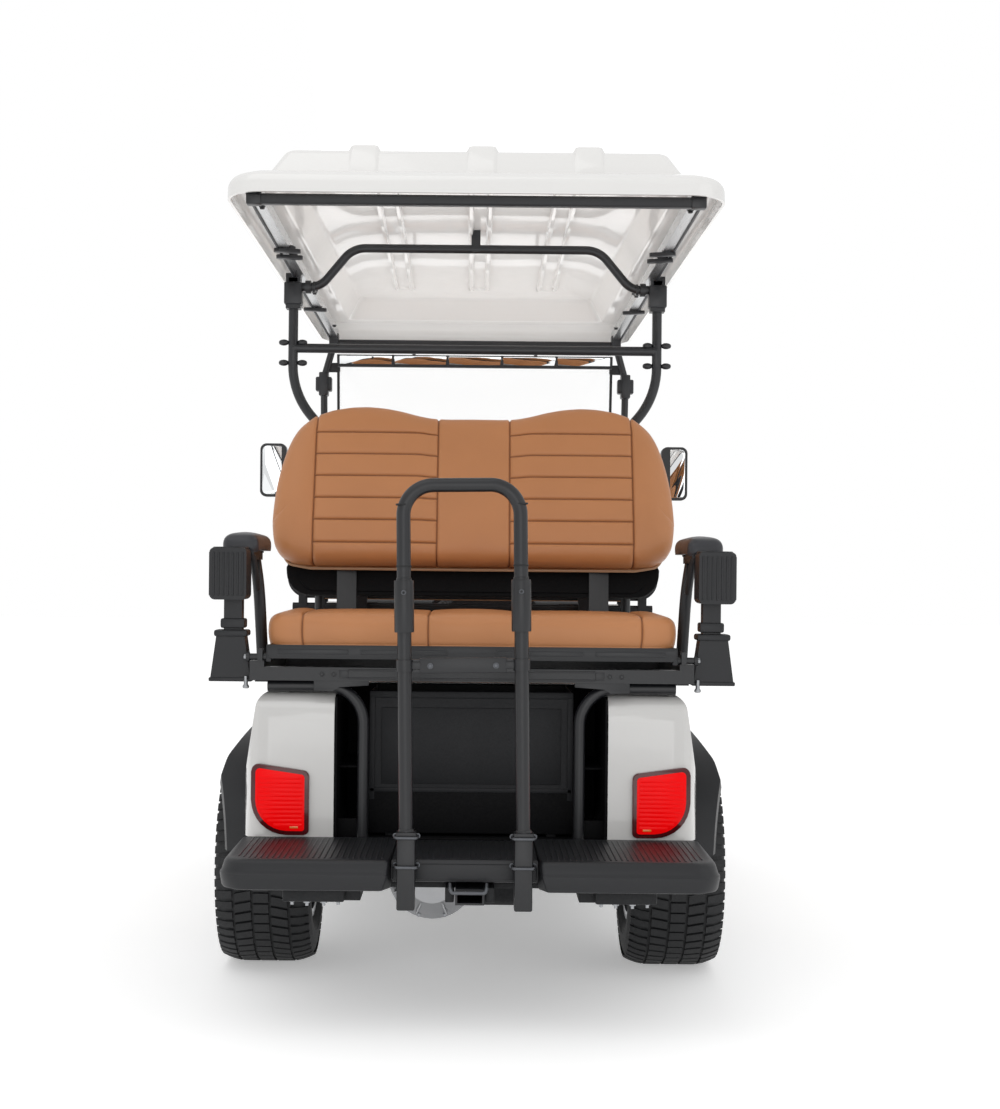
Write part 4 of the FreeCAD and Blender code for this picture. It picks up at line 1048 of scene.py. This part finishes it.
class CART_OT_seat_frame(Build, bpy.types.Operator):
    """Slotted front of the flip tray, seat frame fittings and the shell behind the backrest"""

    bl_idname = "cart.seat_frame"
    bl_label = "Seat frame"

    def build(self, scene):
        bm = bmesh.new()
        blocks(bm, (300, 470, -1159.5, -1154, 846, 858, 1.5), (60, 270, -1159.5, -1154, 846, 858, 1.5),
               *[(60, 460, y - 9, y + 9, 841, 847, 1.5) for y in (-1100, -1000, -900, -800)])
        turned(bm, [(0, 12), (9, 12), (11, 9)], DOWN, 18, (120, -820, 846), (420, -820, 846))
        mirror_x(bm)
        slab(bm, plate((-495, 495), (835, 868), 10, 8, 5), "y", -1158, -1154.5, 1)
        piece("flip_tray_flange", bm, "powder_coated_steel", body="rear_flip_seat")
        bm = bmesh.new()
        bolts(bm, 5, BACK, (364, -1150, 797), (335, -1150, 797))
        bolts(bm, 6, RIGHT, (540, -1000, 805), (540, -860, 805), (540, -720, 805))
        turned(bm, [(0, 9), (6, 9), (8, 6)], (-1, 0, 0), 16, (506, -1143, 838))
        slab(bm, rounded([(384, 756, 4), (384, 783, 2), (250, 783, 2), (250, 770, 3), (322, 766, 8), (338, 756, 6)], 4),
             "y", -1149, -1144, 1)
        blocks(bm, (300, 322, -1151.5, -1148, 788, 807, 1))
        mirror_x(bm)
        blocks(bm, (-300, 300, -1153, -1149, 786, 790, 1), (-300, 300, -1153, -1149, 806, 810, 1))
        piece("seat_frame_fittings", bm, "powder_coated_steel")
        self.lower_shell()
        bm = bmesh.new()
        for place, out, half in ((BACKREST, 14, [(536, 60, 0), (500, 5, 30), (440, -6, 60)]),
                                 (FRONT_BACKREST, 12, [(532, 56, 0), (498, 5, 30), (438, -6, 60)])):
            run = [(-x, h, bend) for x, h, bend in half] + [(0, -7, 0)] + half[::-1]
            bar(bm, [(*place(x, h, out), bend) for x, h, bend in run], 4, 8, 6)
        piece("seat_piping", bm, "welt_cord")

    def lower_shell(self):
        """Black shell below the rear backrest, with a raised middle, black as painted shade."""
        bm = bmesh.new()
        place = leaning(-645, 980, -18.5, -1)
        outline = rounded(both_ways([(504, 4, 66), (512, 92, 12)]), 8)
        middle = Vector((0, 50, 0))
        rings = []
        for out, inset in ((-16, 3), (-14.5, 0), (-2, 0), (0, 3)):
            drawn_in = [p + (middle - p).normalized() * inset for p in outline]
            rings.append([place(p.x, p.y, out) for p in drawn_in])
        swept(bm, rings)
        ridge = rounded(both_ways([(470, 14, 50), (478, 80, 10)]), 6)
        swept(bm, [[place(p.x, p.y, out) for p in ridge] for out in (-2, 4)])
        piece("backrest_lower_shell", bm, "shade_dark_polypropylene", sharp=30)


class CART_OT_grab_bar(Build, bpy.types.Operator):
    """Sleeves, sockets and bolts of the rear grab bar"""

    bl_idname = "cart.grab_bar"
    bl_label = "Grab bar"

    tubes = (-144, 120)

    def build(self, scene):
        posts = [(x, -1450, 0) for x in self.tubes]
        bm = bmesh.new()
        turned(bm, [(914, 18), (914, 21.5), (917, 22.5), (1028, 22.5), (1031, 21.5), (1031, 17)], UP, 28, *posts)
        turned(bm, [(1031, 17.5), (1036, 17.5), (1037, 16)], UP, 28, *posts)
        turned(bm, [(463, 19), (466, 19), (470, 16.5)], UP, 24, *posts)
        turned(bm, [(826, 17), (826, 19.5), (852, 19.5), (852, 17)], UP, 24, *posts)
        for x in self.tubes:
            blocks(bm, (x - 20.5, x + 20.5, -1471, -1434, 288, 463, 4),
                   (x - 22.5, x + 22.5, -1473, -1433.5, 452, 464, 2))
        blocks(bm, (-110, 86, -1457, -1452, 822, 856, 2), (-130, -106, -1458, -1444, 830, 848, 3),
               (82, 106, -1458, -1444, 830, 848, 3))
        self.lean(bm)
        piece("grab_bar_sleeves", bm, "powder_coated_steel")
        bm = bmesh.new()
        turned(bm, [(0, 6), (3, 5.6), (5, 3)], BACK, 16, *[(x, -1471, 1004) for x in self.tubes])
        for x in self.tubes:
            for z in (386, 452):
                bar(bm, [(x - 25, -1436, z, 0), (x - 25, -1476, z, 9), (x + 25, -1476, z, 9), (x + 25, -1436, z, 0)],
                    3.6, 10, 5)
                bolts(bm, 5, BACK, (x - 25, -1438, z), (x + 25, -1438, z))
        bolts(bm, 5.5, BACK, (-86, -1457, 838), (62, -1457, 838))
        bar(bm, [(-45, -1450, 346, 0), (-45, -1462, 338, 8), (-40, -1464, 328, 6), (34, -1464, 328, 6),
                 (38, -1462, 338, 8), (38, -1450, 346, 0)], 4.2, 10, 5)
        self.lean(bm)
        piece("grab_bar_clamps", bm, "black_zinc_steel")
        bm = bmesh.new()
        turned(bm, [(0, 3), (1, 2.8)], BACK, 12, *[(x, -1476, 1004) for x in self.tubes])
        for z in (1061, 1200):
            turned(bm, [(z, 16.6), (z + 1, 17.4), (z + 3, 17.4), (z + 4, 16.6)], UP, 24, *posts)
        self.lean(bm)
        piece("grab_bar_grips", bm, "vulcanised_rubber")

    def lean(self, bm):
        """The bar leans one degree, above its sockets."""
        upper = [v for v in bm.verts if v.co.z > 800]
        bmesh.ops.transform(bm, matrix=about((-12, -1450, 400), -1, "Y"), verts=upper)


class CART_OT_underside(Build, bpy.types.Operator):
    """Step carrier, differential cover, hoses and bolts under the cart"""

    bl_idname = "cart.underside"
    bl_label = "Underside"

    def build(self, scene):
        bm = bmesh.new()
        blocks(bm, (285, 425, -1424, -1376, 297, 332, 4), (300, 312, -1400, -1150, 302, 333, 2),
               (388, 400, -1400, -1150, 302, 333, 2), (36, 56, -1430, -1150, 300, 334, 3),
               *[(172, 228, y - 30, y + 30, 312, 321, 3) for y in (-1000, 400, 700, 1100)])
        mirror_x(bm)
        blocks(bm, *[(-420, 420, y - 6, y + 6, 318, 333, 2) for y in (-1180, -1260, -1340)])
        piece("step_carrier", bm, "chassis_paint")
        bm = bmesh.new()
        ends = [(370, -1412, 303), (332, -1412, 303), (300, -1400, 303), (405, -1400, 303)]
        turned(bm, [(0, 4), (16, 4)], DOWN, 10, *ends)
        turned(bm, [(2, 8), (9, 8), (10, 6)], DOWN, 6, *ends)
        bolts(bm, 7, DOWN, (410, -1110, 296), (410, -1130, 296))
        for y in (-720, -640):
            bar(bm, [(302, y, 350, 0), (302, y, 246, 26), (358, y, 246, 26), (358, y, 350, 0)], 5, 10, 6)
        mirror_x(bm)
        bolts(bm, 5, BACK, *[(-100 + 112 * math.cos(a), -772, 246 + 112 * math.sin(a)) for a in circle(10)])
        turned(bm, [(0, 9), (8, 9), (10, 7)], BACK, 6, (-100, -830, 246))
        piece("underside_bolts", bm, "zinc_plated_steel")
        bm = bmesh.new()
        turned(bm, [(-40, 92), (-20, 112), (0, 118), (16, 118), (20, 108), (34, 98), (60, 78), (74, 66)], BACK, 40,
               (-100, -754, 246))
        for k in range(8):
            block(bm, (-102.5, -97.5), (-820, -774), (312, 352), 2,
                  turn=about((-100, -780, 246), (k + 0.5) * 45, "Y"))
        piece("axle_castings", bm, "sand_cast_aluminium")
        bm = bmesh.new()
        bar(bm, [(400, -700, 330, 0), (300, -720, 345, 40), (238, -800, 385, 40), (238, -300, 388, 40),
                 (236, 300, 388, 0)], 5, 10, 6)
        # Folds of the rubber boot on each rear damper, which leans from the axle up to its bridge.
        folds = [0.45 + 0.5 * k / 12 for k in range(12)]
        turned(bm, [(0, 24), (3, 27), (7, 27), (10, 24)], (0, 0.12, 1), 20,
               *[(250, -640 + 38 * t, 300 + 312 * t) for t in folds])
        mirror_x(bm)
        bar(bm, [(150, -700, 250, 0), (190, -760, 300, 40), (170, -860, 360, 40), (120, -960, 392, 0)], 9, 12, 6)
        bar(bm, [(140, -640, 260, 0), (200, -560, 320, 40), (160, -380, 384, 40), (150, -220, 388, 0)], 9, 12, 6)
        piece("brake_hoses_and_cables", bm, "vulcanised_rubber")


class CART_OT_front(Build, bpy.types.Operator):
    """Headlamp bowls, bumper ribs, the screen's seals and clips, and treads on the sills"""

    bl_idname = "cart.front"
    bl_label = "Front end"

    def build(self, scene):
        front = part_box("head_lights")[1].y / MM
        bowls, bulbs = bmesh.new(), bmesh.new()
        for x, z, size in ((352, 604, 38), (436, 612, 34)):
            depth = front - 62 - (x - 300) * 0.32
            turned(bowls, [(0, 5), (2, size * 0.45), (9, size * 0.72), (22, size * 0.9), (38, size), (40, size + 2)],
                   AHEAD, 36, (x, depth, z))
            turned(bulbs, [(0, 9), (10, 9), (20, 6), (24, 1)], AHEAD, 20, (x, depth + 4, z))
        mirror_x(bowls)
        mirror_x(bulbs)
        piece("headlamp_bowls", bowls, "bright_chrome", sharp=50)
        piece("headlamp_bulbs", bulbs, "lamp_cover_acrylic")
        bm = bmesh.new()
        back = rounded([(305, 568, 20), (305, 622, 20), (484, 652, 24), (484, 578, 24)], 5)
        swept(bm, [[(p.x, front - 66 - (p.x - 300) * 0.42 - deep, p.y) for p in back] for deep in (4, 0)])
        mirror_x(bm)
        piece("headlamp_backs", bm, "polished_polypropylene")
        bm = bmesh.new()
        for z in (366, 386, 406):
            bar(bm, [(-430, 1400, z, 0), (-414, 1474, z, 60), (0, 1484, z, 0), (414, 1474, z, 60), (430, 1400, z, 0)],
                3.4, 8, 8)
        piece("bumper_ribs", bm, "moulded_polypropylene")
        bm = bmesh.new()
        bar(bm, [(478, 803, 950, 0), (478, 675, 1806, 0)], 5, 8, 2)
        clips = [(self.screen(z), z) for z in (1010, 1330, 1425, 1760)]
        blocks(bm, *[(472, 520, y - 12, y + 12, z - 16, z + 16, 4) for y, z in clips])
        mirror_x(bm)
        bar(bm, [(-478, 803, 947, 0), (478, 803, 947, 0)], 6, 10, 2)
        bar(bm, [(x, self.screen(1377), 1378, 0) for x in (-478, 478)], 6.5, 10, 2)
        piece("windshield_seals", bm, "vulcanised_rubber")
        bm = bmesh.new()
        turned(bm, [(0, 9), (10, 9), (13, 6)], AHEAD, 6, *[(496, y + 11, z) for y, z in clips])
        mirror_x(bm)
        piece("windshield_clips", bm, "zinc_plated_steel")
        bm = bmesh.new()
        blocks(bm, (560, 600, -338, 592, 396, 399, 1.2),
               *[(604, 606.5, y - 50, y + 50, 330, 344, 1) for y in range(-320, 521, 120)],
               *[(564, 598, y - 4, y + 4, 398.5, 401, 1) for y in range(-325, 575, 31)])
        mirror_x(bm)
        piece("rocker_treads", bm, "moulded_polypropylene")

    def screen(self, z):
        """How far ahead the raked screen is at a height: its foot is at 803, 947."""
        return 803 - (z - 947) * 128 / 867


class CART_OT_cabin(Build, bpy.types.Operator):
    """Dashboard fittings, steering wheel grip, pedals, floor ribs and batteries"""

    bl_idname = "cart.cabin"
    bl_label = "Cabin"

    dial, charge, key = (-240, 561, 850), (-110, 562, 846), (-40, 562, 846)

    def build(self, scene):
        self.dashboard()
        self.steering()
        bm = bmesh.new()
        for x, half, ribs in ((-330, 42, 7), (-190, 28, 9)):
            for z in range(469, 469 + ribs * 14, 14):
                block(bm, (x - half + 5, x + half - 5), (626, 631), (z - 3.5, z + 3.5), 1.5,
                      turn=about((x, 636, 455), -18, "X"))
        piece("pedal_rubbers", bm, "vulcanised_rubber")
        bm = bmesh.new()
        blocks(bm, *[(x - 8, x + 8, 338, 586, 395.5, 399, 1.6) for x in range(-512, 513, 32)])
        for z in range(420, 589, 28):
            y = 630 + (z - 396) * 114 / 238
            blocks(bm, (-520, 520, y - 6, y + 2, z - 5, z + 5, 1.5))
        piece("floor_mat_ribs", bm, "floor_vinyl", sharp=30)
        self.batteries()
        bm = bmesh.new()
        blocks(bm, (340, 500, 326, 333.5, 430, 560, 6))
        mirror_x(bm)
        blocks(bm, (-300, 300, 326, 333.5, 420, 590, 8),
               *[(-270, 270, 331, 336, z - 5, z + 5, 2) for z in (450, 480, 510, 540)])
        piece("kick_panel", bm, "moulded_polypropylene")

    def dashboard(self):
        """Dial, charge gauge and key switch, the bins' lips and the cup rings."""
        bm = bmesh.new()
        turned(bm, [(0, 42), (4, 42), (6, 39), (6, 36)], (0, -0.2, 1), 32, (385, 590, 842))
        mirror_x(bm)
        turned(bm, [(0, 52), (6, 52), (9, 48), (9, 42), (5, 40)], BACK, 40, self.dial)
        turned(bm, [(0, 24), (5, 24), (8, 20)], BACK, 28, self.charge)
        turned(bm, [(0, 13), (5, 13), (9, 11), (9, 6)], BACK, 24, self.key)
        blocks(bm, (10, 60, 554, 562, 832, 862, 3), (120, 430, 556, 562, 782, 868, 5),
               (150, 400, 552, 558, 850, 860, 2), (-430, -320, 556, 562, 788, 860, 5),
               *[(-424, -326, 553, 558, z, z + 5, 1) for z in range(798, 847, 12)])
        piece("dashboard_bezels", bm, "polished_polypropylene")
        bm = bmesh.new()
        turned(bm, [(4, 41), (5.5, 40), (6, 1)], BACK, 40, self.dial)
        turned(bm, [(7, 19), (8, 18), (8.4, 1)], BACK, 28, self.charge)
        piece("dashboard_gauges", bm, "gauge_glass")
        bm = bmesh.new()
        middle = (-240, 554, 850)
        for k in range(9):
            block(bm, (-241.2, -238.8), (553.8, 555), (880, 887), 0.4, turn=about(middle, -120 + k * 30, "Y"))
        block(bm, (-241, -239), (553, 554.6), (846, 878), 0.5, turn=about(middle, -40.107, "Y"))
        turned(bm, [(9, 5), (13, 5), (14, 3)], BACK, 16, self.key)
        blocks(bm, (-42, -38, 528, 549, 838, 854, 1.5))
        piece("dashboard_needles", bm, "zinc_plated_steel")

    def steering(self):
        """Ribs moulded in the grip, the hub cover and its horn button."""
        bm = bmesh.new()
        for angle in circle(96):
            rows = []
            for shift, grow in ((-0.022, 0.97), (-0.014, 1.02), (0.014, 1.02), (0.022, 0.97)):
                turn = Matrix.Rotation(angle + shift, 3, "Z")
                rows.append([turn @ Vector((178 + 14.6 * math.cos(a) * grow, 0, 14.6 * math.sin(a) * grow))
                             for a in circle(14)])
            swept(bm, rows)
        turned(bm, [(-32, 30), (-30, 42), (4, 46), (12, 42), (16, 30)], UP, 36, (0, 0, 0))
        turned(bm, [(15, 26), (19, 25), (21, 20)], UP, 30, (0, 0, 0))
        for degrees in (0, 180, 270):
            block(bm, (30, 170), (-15, 15), (-10, 2), 4, turn=about((0, 0, 0), degrees, "Z"))
        move_new(bm, (), Matrix.Translation((-240, 450, 1000)) @ about((0, 0, 0), 35.3, "X"))
        piece("steering_wheel_grip", bm, "moulded_polypropylene", body="steering_wheel", sharp=40)

    def batteries(self):
        """Six batteries with vent caps, posts and links, in their bay."""
        cases, links = bmesh.new(), bmesh.new()
        for x in (-220, 0, 220):
            for y in (-105, 89):
                blocks(cases, (x - 104, x + 104, y - 92, y + 92, 400, 642, 6),
                       (x - 98, x + 98, y - 86, y + 86, 640, 648, 4))
                turned(cases, [(648, 20), (655, 20), (657, 16)], UP, 18, (x - 52, y, 0), (x, y, 0), (x + 52, y, 0))
                turned(links, [(646, 9), (660, 8), (661, 5)], UP, 14, (x - 80, y - 62, 0), (x + 80, y + 62, 0))
                if x >= 0:
                    bar(links, [(x - 80, y - 62, 658, 0), (x - 100, y - 30, 670, 16), (x - 120, y + 30, 670, 16),
                                (x - 140, y + 62, 658, 0)], 5, 8, 5)
        piece("battery_caps", cases, "moulded_polypropylene")
        piece("battery_links", links, "zinc_plated_steel")


OPERATORS = [
    CART_OT_finishes, CART_OT_stage, CART_OT_roof, CART_OT_roof_frame, CART_OT_mirrors, CART_OT_step, CART_OT_seats,
    CART_OT_tail, CART_OT_wheels, CART_OT_armrests, CART_OT_seat_frame, CART_OT_grab_bar, CART_OT_underside,
    CART_OT_front, CART_OT_cabin,
]
STEPS = [made.bl_idname.split(".")[1] for made in OPERATORS]


class CART_PT_panel(bpy.types.Panel):
    """Lists the cart's settings and pieces"""

    bl_idname = "CART_PT_panel"
    bl_label = "Golf cart"
    bl_space_type = "VIEW_3D"
    bl_region_type = "UI"
    bl_category = "Cart"

    def draw(self, context):
        scene = context.scene
        for settings in (scene.cart_colours, scene.cart_sizes, scene.cart_studio):
            group = self.layout.box()
            for name in settings.__annotations__:
                group.prop(settings, name)
        for step in STEPS:
            self.layout.operator("cart." + step)


CLASSES = [CartColours, CartSizes, CartStudio] + OPERATORS + [CART_PT_panel]


def register():
    for made in CLASSES:
        bpy.utils.register_class(made)
    bpy.types.Scene.cart_colours = bpy.props.PointerProperty(type=CartColours)
    bpy.types.Scene.cart_sizes = bpy.props.PointerProperty(type=CartSizes)
    bpy.types.Scene.cart_studio = bpy.props.PointerProperty(type=CartStudio)


def unregister():
    del bpy.types.Scene.cart_studio
    del bpy.types.Scene.cart_sizes
    del bpy.types.Scene.cart_colours
    for made in reversed(CLASSES):
        bpy.utils.unregister_class(made)


def main():
    register()
    for step in STEPS:
        getattr(bpy.ops.cart, step)()


if __name__ == "__main__":
    main()
